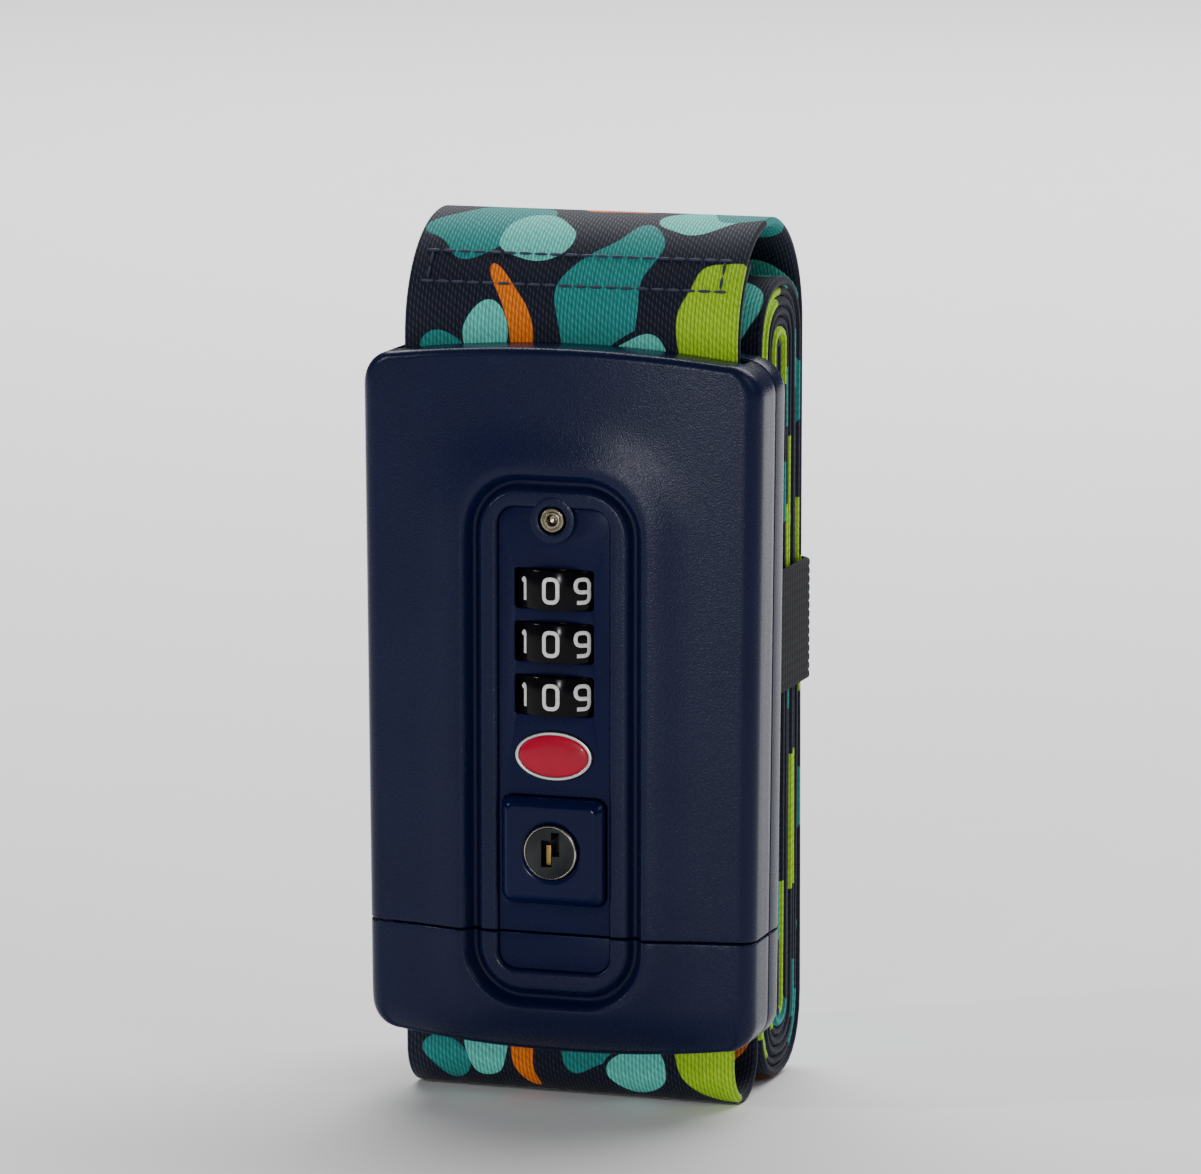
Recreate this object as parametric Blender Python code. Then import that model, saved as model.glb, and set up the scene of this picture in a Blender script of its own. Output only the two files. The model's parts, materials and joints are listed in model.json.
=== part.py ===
"""Luggage strap: 50 mm webbing closed by a combination-lock buckle, folded flat for storage.

The buckle stands upright with its tongue down and the webbing packed behind it.
World axes: +X right, +Z up, the buckle's face looks towards -Y. The origin is at the
bottom centre of the whole strap's box. Dimensions below are in millimetres, and
`world` turns them into metres. "Depth" is measured backwards (+Y) from the ridge of
the buckle's crowned face.
"""
import math

import bmesh
import bpy
from mathutils import Vector

MM = 0.001
GAP = 0.3                     # running gap between neighbouring pieces

# Webbing and pack
WEBBING_WIDTH = 50.0
WEBBING_THICKNESS = 1.3
PACK_HEIGHT = 119.0
PACK_DEPTH = 19.0
PACK_CORNER = 7.0
ARCH_SPRING_Z = 111.0         # where the free arch over the pack starts to turn
TUCK_Z = 52.0                 # lower end of the arch's rear leg, under the keeper

# Buckle envelope
BUCKLE_WIDTH = 60.0
BUCKLE_DEPTH = 17.5
BUCKLE_BOTTOM = 8.0
SEAM_Z = 26.0                 # joint line between tongue and housing
HOUSING_TOP = 111.0
SPLIT_DEPTH = 11.0            # plane between front and back shells
CROWN_RADIUS = 151.0
ARCH_RADIUS = 186.0
SIDE_FILLET = 3.0
TOP_CORNER = 5.0
BOTTOM_CORNER = 4.5
TONGUE_TAPER = 0.8            # how much each side draws in towards the bottom
WALL = 2.2
ROLL_DEPTH, ROLL_HEIGHT = 6.0, 8.0      # the tongue's lower front edge rolls round to the bottom
SLOT_HALF_WIDTH = 26.5
SLOT_FRONT = 6.8
WEBBING_DEPTH = 8.65          # middle of the webbing inside the buckle

# Sculpted ring and lock panel on the face
FACE_CENTRE_Z = 54.15
GROOVE_WIDTH, GROOVE_HEIGHT, GROOVE_CORNER = 25.4, 76.1, 8.0
RING_WIDTH, RING_HEIGHT, RING_CORNER = 22.5, 73.2, 6.6
PANEL_WIDTH, PANEL_CORNER = 16.3, 2.0
PANEL_TOP, PANEL_BOTTOM = 87.8, 20.8
GROOVE_FLOOR = 1.6
RING_FACE = 0.6
PANEL_FACE = 1.3
PANEL_BACK = 3.2
RAIL_BACK = 4.2
RAIL_INNER, RAIL_OUTER = 7.0, 9.2

# Combination lock
DIAL_RADIUS = 7.4
DIAL_HEIGHT = 5.4
DIAL_PITCH = 7.72
TOP_DIAL_Z = 76.3
DIAL_DEPTH = 7.05             # depth of the dials' common axis
WINDOW_WIDTH, WINDOW_HEIGHT = 12.6, 5.9
DIAL_BORE = 3.3
SLEEVE_OUTER, SLEEVE_INNER = 3.0, 1.8
FLANGE_RADIUS = 3.4
SHAFT_RADIUS = 1.5
SHAFT_BOTTOM, SHAFT_TOP = 53.2, 84.2
RESET_Z = 86.4
RESET_RADIUS = 1.8
RESET_LOBE = 3.3
DIALS = range(3)

# Release button and key plug
BUTTON_SIZE = 15.6
BUTTON_Z = 38.3
BUTTON_FRONT, CAP_BACK, BUTTON_BACK = -0.5, 0.9, 6.5
BUTTON_BODY = 13.4
BADGE_Z, BADGE_HALF_WIDTH, BADGE_HALF_HEIGHT = 52.1, 5.8, 3.55
PLUG_RADIUS = 4.0
PLUG_FRONT, PLUG_BACK = -0.9, 9.0
CAM_BACK = 10.5
CORNER_SPRING = 5.0           # button springs' offset from the plug's axis

# Case screws
SCREW_HEAD, SCREW_SHANK = 2.2, 1.25
COUNTERBORE, CLEARANCE, BOSS, TONGUE_BOSS = 2.6, 1.6, 2.6, 2.4
HEAD_DEPTH = 1.3

# Latch, fork and bars
FRAME_FRONT, FRAME_BACK = 14.75, 15.2
FRAME_LOW, FRAME_HIGH, FRAME_HALF = 30.0, 89.0, 7.0
EAR_FRONT, EAR_HALF, EAR_THICKNESS = 4.6, 6.0, 1.2
UPPER_EAR_Z, LOWER_EAR_Z = 81.3, 54.4
SPRING_SEAT_LOW, SPRING_SEAT_HIGH = 45.3, 46.3
LATCH_Z, LATCH_HALF = 40.0, 1.4
LATCH_FRONT, LATCH_BACK = 12.9, 13.8
FORK_FRONT, FORK_BACK = 7.5, 10.0
PRONG_INNER, PRONG_OUTER, PRONG_STEP = 15.0, 23.0, 18.3
PRONG_TOP = 46.0
BAR_RADIUS = 1.75
HOUSING_BAR_Z, HOUSING_BAR_HALF = 103.5, 27.4
TONGUE_BAR_Z, TONGUE_BAR_HALF = 14.3, 25.3

# Keeper band
KEEPER_LOW, KEEPER_HIGH = 58.0, 76.0
KEEPER_THICKNESS = 1.0

# Depths of the layers behind the buckle
KEEPER_FRONT = BUCKLE_DEPTH + 0.8
BACK_LEG = KEEPER_FRONT + KEEPER_THICKNESS + GAP + WEBBING_THICKNESS / 2
PACK_FRONT = BACK_LEG + WEBBING_THICKNESS / 2 + 0.4
PACK_BACK = PACK_FRONT + PACK_DEPTH
REAR_LEG = PACK_BACK + 0.4 + WEBBING_THICKNESS / 2
KEEPER_BACK = REAR_LEG + WEBBING_THICKNESS / 2 + GAP + KEEPER_THICKNESS
DEPTH_CENTRE = (PLUG_FRONT + KEEPER_BACK) / 2


def world(x, depth, z):
    """A point given in millimetres, as a vector in metres."""
    return Vector((x, depth - DEPTH_CENTRE, z)) * MM


# ---------------------------------------------------------------- materials

def material(name, colour, roughness, metallic=0.0):
    made = bpy.data.materials.new(name)
    made.use_nodes = True
    shader = made.node_tree.nodes["Principled BSDF"]
    shader.inputs["Base Color"].default_value = (*colour, 1.0)
    shader.inputs["Roughness"].default_value = roughness
    shader.inputs["Metallic"].default_value = metallic
    return made


def make_materials():
    return {
        "navy": material("navy_plastic", (0.020, 0.024, 0.060), 0.45),
        "blue": material("deep_blue_plastic", (0.006, 0.010, 0.048), 0.35),
        "black": material("black_dial_plastic", (0.008, 0.008, 0.010), 0.3),
        "steel": material("steel", (0.55, 0.55, 0.56), 0.35, 1.0),
        "nickel": material("nickel", (0.62, 0.58, 0.50), 0.28, 1.0),
        "zinc": material("zinc", (0.45, 0.46, 0.48), 0.5, 1.0),
        "brass": material("brass", (0.60, 0.42, 0.15), 0.35, 1.0),
        "enamel": material("red_enamel", (0.45, 0.01, 0.015), 0.25),
        "webbing": material("printed_webbing", (0.05, 0.22, 0.22), 0.8),
        "elastic": material("black_elastic", (0.012, 0.012, 0.014), 0.85),
    }


# ---------------------------------------------------------------- outlines

def arc(centre, radius, start_deg, end_deg, steps):
    """Points on a circular or elliptical arc; radius is a number or a pair."""
    across, along = radius if isinstance(radius, tuple) else (radius, radius)
    points = []
    for step in range(steps + 1):
        angle = math.radians(start_deg + (end_deg - start_deg) * step / steps)
        points.append((centre[0] + across * math.cos(angle), centre[1] + along * math.sin(angle)))
    return points


def circle(centre, radius, steps=24):
    return arc(centre, radius, 0, 360, steps)[:-1]


def rounded_rectangle(low, high, corner, steps=4):
    """Anticlockwise outline of a rectangle with round corners."""
    (x0, y0), (x1, y1) = low, high
    return (arc((x1 - corner, y0 + corner), corner, -90, 0, steps)
            + arc((x1 - corner, y1 - corner), corner, 0, 90, steps)
            + arc((x0 + corner, y1 - corner), corner, 90, 180, steps)
            + arc((x0 + corner, y0 + corner), corner, 180, 270, steps))


def centred(width, height, corner, centre_z, steps=4):
    return rounded_rectangle((-width / 2, centre_z - height / 2), (width / 2, centre_z + height / 2),
                             corner, steps)


def sagitta(radius, offset):
    return radius - math.sqrt(radius ** 2 - offset ** 2)


def crown_section(inset, back):
    """Plan of the buckle (x, depth): crowned front, filleted side edges, flat back."""
    half = BUCKLE_WIDTH / 2 - inset
    fillet = max(SIDE_FILLET - inset, 0.8)
    flank = half - fillet
    front = []
    steps = 16
    for step in range(1, steps):
        x = -flank + 2 * flank * step / steps
        front.append((x, inset + sagitta(CROWN_RADIUS, x)))
    corner_depth = inset + sagitta(CROWN_RADIUS, flank) + fillet
    left = arc((-flank, corner_depth), fillet, 180, 270, 4)
    right = arc((flank, corner_depth), fillet, 270, 360, 4)
    return [(-half, back)] + left + front + right + [(half, back)]


def back_section(inset, front):
    """Plan of the back shells (x, depth): flat back with rounded edges."""
    half = BUCKLE_WIDTH / 2 - inset
    back = BUCKLE_DEPTH - inset
    fillet = max(SIDE_FILLET - inset, 0.8)
    return ([(half, front)] + arc((half - fillet, back - fillet), fillet, 0, 90, 4)
            + arc((-half + fillet, back - fillet), fillet, 90, 180, 4) + [(-half, front)])


def arched_edge(half, height, corner, direction):
    """Right-to-left edge that bows by ARCH_RADIUS; direction is 1 at the top, -1 at the bottom."""
    flank = half - corner
    level = height - direction * (sagitta(ARCH_RADIUS, flank) + corner)
    right = arc((flank, level), (corner, direction * corner), 0, 90, 5)
    left = arc((-flank, level), (corner, direction * corner), 90, 180, 5)
    steps = 12
    middle = []
    for step in range(1, steps):
        x = flank - 2 * flank * step / steps
        middle.append((x, height - direction * sagitta(ARCH_RADIUS, x)))
    return right + middle + left


def housing_outline(inset, bottom):
    """Front view of the housing (x, z): straight sides under an arched top."""
    half = BUCKLE_WIDTH / 2 - inset
    corner = max(TOP_CORNER - inset, 1.0)
    return [(-half, bottom), (half, bottom)] + arched_edge(half, HOUSING_TOP - inset, corner, 1)


def tongue_outline(inset, top):
    """Front view of the tongue (x, z): slightly tapered, with an arched bottom."""
    half = BUCKLE_WIDTH / 2 - inset
    corner = BOTTOM_CORNER - inset
    edge = arched_edge(half - TONGUE_TAPER, BUCKLE_BOTTOM + inset, corner, -1)
    return [(-half + 0.2, top), (half - 0.2, top)] + edge


# ---------------------------------------------------------------- solids

def mesh_object(name, verts, faces):
    mesh = bpy.data.meshes.new(name)
    mesh.from_pydata(verts, [], faces)
    shell = bmesh.new()
    shell.from_mesh(mesh)
    bmesh.ops.recalc_face_normals(shell, faces=shell.faces)
    shell.to_mesh(mesh)
    shell.free()
    made = bpy.data.objects.new(name, mesh)
    bpy.context.collection.objects.link(made)
    return made


def extrude(name, outline, axis, start, end):
    """Solid with the outline as its section: (depth, z) along x, (x, z) along y, (x, depth) along z."""
    place = {"x": lambda p, s: world(s, p[0], p[1]),
             "y": lambda p, s: world(p[0], s, p[1]),
             "z": lambda p, s: world(p[0], p[1], s)}[axis]
    count = len(outline)
    verts = [place(p, start) for p in outline] + [place(p, end) for p in outline]
    sides = [(i, (i + 1) % count, count + (i + 1) % count, count + i) for i in range(count)]
    caps = [tuple(range(count)), tuple(range(2 * count - 1, count - 1, -1))]
    return mesh_object(name, verts, sides + caps)


def block(name, x, depth, z):
    """Box from three (low, high) pairs."""
    outline = [(x[0], z[0]), (x[1], z[0]), (x[1], z[1]), (x[0], z[1])]
    return extrude(name, outline, "y", depth[0], depth[1])


def bake(obj):
    """Replace an object's mesh by what its modifiers make of it."""
    depsgraph = bpy.context.evaluated_depsgraph_get()
    baked = bpy.data.meshes.new_from_object(obj.evaluated_get(depsgraph))
    obj.modifiers.clear()
    obj.data = baked
    return obj


def combine(target, tools, operation):
    """Apply one exact Boolean per tool, then remove the tools."""
    for tool in tools:
        step = target.modifiers.new(operation.lower(), "BOOLEAN")
        step.operation = operation
        step.solver = "EXACT"
        step.object = tool
        bake(target)
        bpy.data.objects.remove(tool)
    return target


def cut(target, *tools):
    return combine(target, tools, "DIFFERENCE")


def join(target, *tools):
    return combine(target, tools, "UNION")


def trim(target, *tools):
    return combine(target, tools, "INTERSECT")


def soften(obj, width, segments=2, angle_deg=40):
    """Round the edges that are sharper than the angle."""
    step = obj.modifiers.new("round_edges", "BEVEL")
    step.width = width * MM
    step.segments = segments
    step.limit_method = "ANGLE"
    step.angle_limit = math.radians(angle_deg)
    return bake(obj)


def coil(name, centre, axis, radius, wire, start, end, turns, steps=10):
    """Helical spring along y (centre is x, z) or z (centre is x, depth)."""
    curve = bpy.data.curves.new(name, "CURVE")
    curve.dimensions = "3D"
    curve.bevel_depth = wire * MM
    curve.bevel_resolution = 1
    curve.use_fill_caps = True
    count = turns * steps + 1
    spline = curve.splines.new("POLY")
    spline.points.add(count - 1)
    for i in range(count):
        angle = 2 * math.pi * i / steps
        across, up = radius * math.cos(angle), radius * math.sin(angle)
        along = start + wire + (end - start - 2 * wire) * i / (count - 1)
        if axis == "y":
            point = world(centre[0] + across, along, centre[1] + up)
        else:
            point = world(centre[0] + across, centre[1] + up, along)
        spline.points[i].co = (*point, 1.0)
    drawn = bpy.data.objects.new("wire", curve)
    bpy.context.collection.objects.link(drawn)
    spring = bpy.data.objects.new(name, bpy.data.meshes.new_from_object(drawn))
    bpy.data.objects.remove(drawn)
    bpy.context.collection.objects.link(spring)
    return spring


def ribbon(name, path):
    """Webbing of full width along a centreline of (depth, z) points."""
    half = WEBBING_THICKNESS / 2
    left, right = [], []
    for i, point in enumerate(path):
        before, after = Vector(path[max(i - 1, 0)]), Vector(path[min(i + 1, len(path) - 1)])
        along = (after - before).normalized()
        normal = Vector((-along.y, along.x)) * half
        left.append(tuple(Vector(point) + normal))
        right.append(tuple(Vector(point) - normal))
    return extrude(name, left + right[::-1], "x", -WEBBING_WIDTH / 2, WEBBING_WIDTH / 2)


# ---------------------------------------------------------------- assembly

def make_pivots():
    """One empty for each moving group, on its joint's axis."""
    places = {
        "base_group": (0, DEPTH_CENTRE, 0),
        "buckle_group": (0, WEBBING_DEPTH, SEAM_Z),
        "reset_group": (0, RESET_LOBE, RESET_Z),
        "shaft_group": (0, DIAL_DEPTH, SHAFT_BOTTOM),
        "button_group": (0, BUTTON_FRONT, BUTTON_Z),
        "plug_group": (0, PLUG_FRONT, BUTTON_Z),
        "latch_group": (0, LATCH_FRONT, LATCH_Z),
    }
    for k in DIALS:
        places[f"dial_{k + 1}_group"] = (0, DIAL_DEPTH, TOP_DIAL_Z - k * DIAL_PITCH)
    pivots = {}
    for name, place in places.items():
        pivot = bpy.data.objects.new(name, None)
        pivot.empty_display_size = 5 * MM
        pivot.location = world(*place)
        bpy.context.collection.objects.link(pivot)
        pivots[name] = pivot
    for name, pivot in pivots.items():
        parent = {"base_group": None, "buckle_group": "base_group",
                  "plug_group": "button_group"}.get(name, "buckle_group")
        if parent:
            pivot.parent = pivots[parent]
            pivot.location -= world(*places[parent])
    return {name: (pivot, world(*places[name])) for name, pivot in pivots.items()}


def place(obj, group, finish, pivots, materials):
    """Put a finished solid's origin on its group's pivot and give it a material."""
    pivot, point = pivots[group]
    for vertex in obj.data.vertices:
        vertex.co -= point
    obj.parent = pivot
    obj.data.materials.clear()
    obj.data.materials.append(materials[finish])
    obj.data.shade_smooth()
    obj.data.set_sharp_from_angle(angle=math.radians(35))


# ---------------------------------------------------------------- housing

def screw_places():
    """Four case screws (x, z): two beside the lock, two near the top corners."""
    return [(-12.2, 31.0), (12.2, 31.0), (-20.0, 96.0), (20.0, 96.0)]


def face_relief(target):
    """Cut the groove band and drop the ring inside it."""
    relief = extrude("relief", centred(GROOVE_WIDTH, GROOVE_HEIGHT, GROOVE_CORNER, FACE_CENTRE_Z),
                     "y", -2, GROOVE_FLOOR)
    island = extrude("island", centred(RING_WIDTH, RING_HEIGHT, RING_CORNER, FACE_CENTRE_Z),
                     "y", RING_FACE, 3)
    cut(relief, island)
    return cut(target, relief)


def housing_front():
    shell = extrude("housing_front", crown_section(0, SPLIT_DEPTH), "z", SEAM_Z + GAP / 2, HOUSING_TOP + 1)
    trim(shell, extrude("outline", housing_outline(0, SEAM_Z + GAP / 2), "y", -2, SPLIT_DEPTH + 1))
    cavity = extrude("cavity", crown_section(WALL, SPLIT_DEPTH + 1), "z", SEAM_Z - 1, HOUSING_TOP + 1)
    trim(cavity, extrude("outline", housing_outline(WALL, SEAM_Z - 1), "y", -2, SPLIT_DEPTH + 2))
    cut(shell, cavity)
    cut(shell, block("slot", (-SLOT_HALF_WIDTH, SLOT_HALF_WIDTH), (SLOT_FRONT, SPLIT_DEPTH + 1),
                     (HOUSING_TOP - 12, HOUSING_TOP + 2)))
    face_relief(shell)
    opening = extrude("opening", rounded_rectangle((-PANEL_WIDTH / 2 - GAP, SEAM_Z - 4),
                                                   (PANEL_WIDTH / 2 + GAP, PANEL_TOP + GAP), PANEL_CORNER),
                      "y", -2, 5)
    cut(opening, extrude("lobe", circle((0, RESET_Z), RESET_LOBE), "y", RING_FACE, 6))
    cut(shell, opening)
    cut(shell, extrude("pin_hole", circle((0, RESET_Z), RESET_RADIUS + GAP), "y", -2, 6))
    for x, z in screw_places():
        join(shell, extrude("boss", circle((x, z), BOSS, 16), "y", WALL, BUCKLE_DEPTH - WALL - GAP))
        cut(shell, extrude("pilot", circle((x, z), CLEARANCE, 12), "y", WALL + 2, BUCKLE_DEPTH))
    return shell


def housing_back():
    shell = extrude("housing_back", back_section(0, SPLIT_DEPTH + GAP), "z", SEAM_Z + GAP / 2, HOUSING_TOP + 1)
    trim(shell, extrude("outline", housing_outline(0, SEAM_Z + GAP / 2), "y", SPLIT_DEPTH, BUCKLE_DEPTH + 1))
    cavity = extrude("cavity", back_section(WALL, SPLIT_DEPTH - 1), "z", SEAM_Z - 1, HOUSING_TOP + 1)
    trim(cavity, extrude("outline", housing_outline(WALL, SEAM_Z - 1), "y", SPLIT_DEPTH - 2, BUCKLE_DEPTH))
    cut(shell, cavity)
    for x, z in screw_places():
        cut(shell, extrude("clearance", circle((x, z), CLEARANCE, 16), "y", SPLIT_DEPTH, BUCKLE_DEPTH + 1))
        cut(shell, extrude("counterbore", circle((x, z), COUNTERBORE, 16), "y", BUCKLE_DEPTH - HEAD_DEPTH,
                           BUCKLE_DEPTH + 1))
    return shell


def case_screw(name, x, z, tip, back):
    """Pan-head cross screw that enters from the back."""
    head = extrude(name, circle((x, z), SCREW_HEAD, 16), "y", back - 1.0, back - 0.1)
    join(head, extrude("shank", circle((x, z), SCREW_SHANK, 12), "y", tip, back - 0.9))
    for across, up in ((1.4, 0.25), (0.25, 1.4)):
        cut(head, block("cross", (x - across, x + across), (back - 0.6, back + 1), (z - up, z + up)))
    return head


def dial_heights():
    return [TOP_DIAL_Z - k * DIAL_PITCH for k in DIALS]


def lock_panel():
    """Inlay plate with three dial windows, a badge pocket and the button's opening, on two rear rails."""
    top, bottom = PANEL_TOP, SEAM_Z + GAP / 2
    panel = extrude("lock_panel", rounded_rectangle((-PANEL_WIDTH / 2, bottom - 4),
                                                    (PANEL_WIDTH / 2, top), PANEL_CORNER),
                    "y", PANEL_FACE, PANEL_BACK)
    for side in (-1, 1):
        x = sorted((side * RAIL_INNER, side * RAIL_OUTER))
        join(panel, block("rail", x, (PANEL_BACK - 0.2, RAIL_BACK), (bottom, top - 6)))
    cut(panel, block("below_seam", (-12, 12), (0, 6), (bottom - 6, bottom)))
    for z in dial_heights():
        cut(panel, block("window", (-WINDOW_WIDTH / 2, WINDOW_WIDTH / 2), (0, 6),
                         (z - WINDOW_HEIGHT / 2, z + WINDOW_HEIGHT / 2)))
    half = BUTTON_SIZE / 2 + GAP
    cut(panel, block("button_opening", (-half, half), (0, PANEL_BACK), (BUTTON_Z - half, BUTTON_Z + half)))
    cut(panel, block("button_way", (-RAIL_INNER, RAIL_INNER), (PANEL_BACK - 1, 6),
                     (BUTTON_Z - half, BUTTON_Z + half)))
    cut(panel, extrude("lobe", circle((0, RESET_Z), RESET_LOBE + GAP), "y", 0, 6))
    pocket = arc((0, BADGE_Z), (BADGE_HALF_WIDTH + GAP, BADGE_HALF_HEIGHT + GAP), 0, 360, 32)[:-1]
    return cut(panel, extrude("badge_pocket", pocket, "y", 0, PANEL_FACE + 0.5))


def emblem_badge():
    """Plain oval badge."""
    outline = arc((0, BADGE_Z), (BADGE_HALF_WIDTH, BADGE_HALF_HEIGHT), 0, 360, 32)[:-1]
    return extrude("emblem_badge", outline, "y", 0.8, 1.5)


def lock_frame():
    """Folded metal frame: back plate, two ears for the dial shaft and a seat for its spring."""
    frame = block("lock_frame", (-FRAME_HALF, FRAME_HALF), (FRAME_FRONT, FRAME_BACK), (FRAME_LOW, FRAME_HIGH))
    depth = (EAR_FRONT, FRAME_BACK - 0.1)
    for z in (UPPER_EAR_Z, LOWER_EAR_Z):
        join(frame, block("ear", (-EAR_HALF, EAR_HALF), depth, (z, z + EAR_THICKNESS)))
        cut(frame, extrude("shaft_hole", circle((0, DIAL_DEPTH), SHAFT_RADIUS + GAP, 16), "z", z - 1, z + 2))
    join(frame, block("spring_seat", (-EAR_HALF / 2, EAR_HALF / 2), depth, (SPRING_SEAT_LOW, SPRING_SEAT_HIGH)))
    return frame


def dial(k, z):
    """Digit wheel with rounded rims, bored for its sleeve."""
    wheel = extrude(f"dial_{k + 1}", circle((0, DIAL_DEPTH), DIAL_RADIUS, 60), "z",
                    z - DIAL_HEIGHT / 2, z + DIAL_HEIGHT / 2)
    soften(wheel, 0.35, 1)
    return cut(wheel, extrude("bore", circle((0, DIAL_DEPTH), DIAL_BORE), "z", z - 4, z + 4))


def dial_sleeve(k, z):
    """Code sleeve: tube inside the wheel with a gated flange below it."""
    bottom, top = z - DIAL_HEIGHT / 2, z + DIAL_HEIGHT / 2
    sleeve = extrude(f"dial_sleeve_{k + 1}", circle((0, DIAL_DEPTH), SLEEVE_OUTER), "z", bottom - 1.0, top + 0.4)
    join(sleeve, extrude("flange", circle((0, DIAL_DEPTH), FLANGE_RADIUS), "z", bottom - 1.6, bottom - 0.4))
    cut(sleeve, extrude("bore", circle((0, DIAL_DEPTH), SLEEVE_INNER, 16), "z", bottom - 3, top + 2))
    cut(sleeve, block("gate", (-FLANGE_RADIUS - 1, -2.5), (DIAL_DEPTH - 0.6, DIAL_DEPTH + 0.6),
                      (bottom - 3, bottom - 0.2)))
    return sleeve


def dial_shaft():
    shaft = extrude("dial_shaft", circle((0, DIAL_DEPTH), SHAFT_RADIUS, 20), "z", SHAFT_BOTTOM, SHAFT_TOP)
    return soften(shaft, 0.4, 1)


def click_spring():
    """Comb-shaped leaf that rests on the right side of the dials."""
    low, high = LOWER_EAR_Z + 2.6, UPPER_EAR_Z - 1.3
    tip, spine_front, spine_back = DIAL_DEPTH - 1.5, 11.0, FRAME_FRONT - GAP
    outline = [(spine_back, low), (spine_back, high), (spine_front, high)]
    for z in dial_heights():
        outline += [(spine_front, z + 1.5), (tip, z + 1.5), (tip, z - 1.5), (spine_front, z - 1.5)]
    outline += [(spine_front, low)]
    return extrude("click_spring", outline, "x", DIAL_RADIUS + 0.4, DIAL_RADIUS + 0.8)


def reset_pin():
    """Recessed code-change pin through the ring's lobe."""
    pin = extrude("reset_pin", circle((0, RESET_Z), RESET_RADIUS), "y", 0.2, 8.6)
    soften(pin, 0.25, 1)
    return cut(pin, extrude("socket", circle((0, RESET_Z), 0.9, 6), "y", -1, 1.4))


def release_button():
    """Square cap on a narrower body, bored for the key plug."""
    half, body = BUTTON_SIZE / 2, BUTTON_BODY / 2
    cap = extrude("release_button", rounded_rectangle((-half, BUTTON_Z - half), (half, BUTTON_Z + half), 1.5),
                  "y", BUTTON_FRONT, CAP_BACK)
    soften(cap, 0.6, 2, 60)
    join(cap, block("body", (-body, body), (CAP_BACK - 0.5, BUTTON_BACK), (BUTTON_Z - body, BUTTON_Z + body)))
    return cut(cap, extrude("bore", circle((0, BUTTON_Z), PLUG_RADIUS + GAP, 32), "y", -2, 8))


def key_plug():
    """Cylinder plug with a stepped keyway."""
    plug = extrude("key_plug", circle((0, BUTTON_Z), PLUG_RADIUS, 32), "y", PLUG_FRONT, PLUG_BACK)
    soften(plug, 0.3, 1)
    cut(plug, block("keyway_low", (-1.1, 0.1), (-2, 4), (BUTTON_Z - 2.4, BUTTON_Z + 1.2)))
    return cut(plug, block("keyway_high", (-0.1, 1.1), (-2, 4), (BUTTON_Z - 1.0, BUTTON_Z + 2.4)))


def plug_cam():
    """Cam on the plug's rear end that pulls the latch when the key turns."""
    outline = (arc((0, BUTTON_Z), 3.0, 25, 335, 16)
               + [(4.6, BUTTON_Z - 0.9), (4.6, BUTTON_Z + 0.9)])
    return extrude("plug_cam", outline, "y", PLUG_BACK + GAP, CAM_BACK)


def fence_bar():
    """Toothed bar beside the dials: its teeth face the sleeves' gates and move with the button."""
    fence = block("fence_bar", (-9.4, -8.2), (5.5, 8.0), (33.0, 79.0))
    join(fence, block("foot", (-8.4, -BUTTON_BODY / 2 - GAP), (5.5, 6.4), (34.0, 42.0)))
    for z in dial_heights():
        low = z - DIAL_HEIGHT / 2 - 1.5
        join(fence, block("tooth", (-8.4, -3.9), (5.5, 8.0), (low, low + 1.0)))
    return fence


def latch_plate():
    """Sliding latch: a bridge behind the lock with a tooth over each prong's step."""
    low, high = LATCH_Z - LATCH_HALF, LATCH_Z + LATCH_HALF
    plate = block("latch_plate", (-25.0, 17.6), (LATCH_FRONT, LATCH_BACK), (low, high))
    for left, right in ((13.0, 17.6), (-25.0, -20.4)):
        join(plate, block("tooth", (left, right), (FORK_FRONT, LATCH_BACK - 0.1), (low, high)))
    return plate


def make_housing(pivots, materials):
    for solid, finish in ((housing_front(), "navy"), (housing_back(), "navy"), (lock_panel(), "blue"),
                          (emblem_badge(), "enamel"), (lock_frame(), "zinc"), (click_spring(), "steel"),
                          (webbing_bar("webbing_bar", HOUSING_BAR_Z, HOUSING_BAR_HALF), "steel"),
                          (top_run(), "webbing")):
        place(solid, "buckle_group", finish, pivots, materials)
    for k, (x, z) in enumerate(screw_places()):
        screw = case_screw(f"housing_screw_{k + 1}", x, z, 5.5, BUCKLE_DEPTH)
        place(screw, "buckle_group", "zinc", pivots, materials)
    springs = [
        coil("shaft_spring", (0, DIAL_DEPTH), "z", 1.6, 0.25, SPRING_SEAT_HIGH + GAP, SHAFT_BOTTOM - 1.3, 5),
        coil("reset_spring", (0, RESET_Z), "y", 1.3, 0.2, 10.2, FRAME_FRONT - GAP, 5),
        latch_spring(),
    ]
    for spring in springs:
        place(spring, "buckle_group", "steel", pivots, materials)


def latch_spring():
    """Leaf spring that presses the latch back over the prongs' steps."""
    outline = [(-27.6, 13.2), (-27.3, 13.2), (-27.3, 13.9), (-12.0, 14.3), (-12.0, 14.7), (-27.6, 14.3)]
    return extrude("latch_spring", outline, "z", LATCH_Z - 1.2, LATCH_Z + 1.2)


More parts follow.
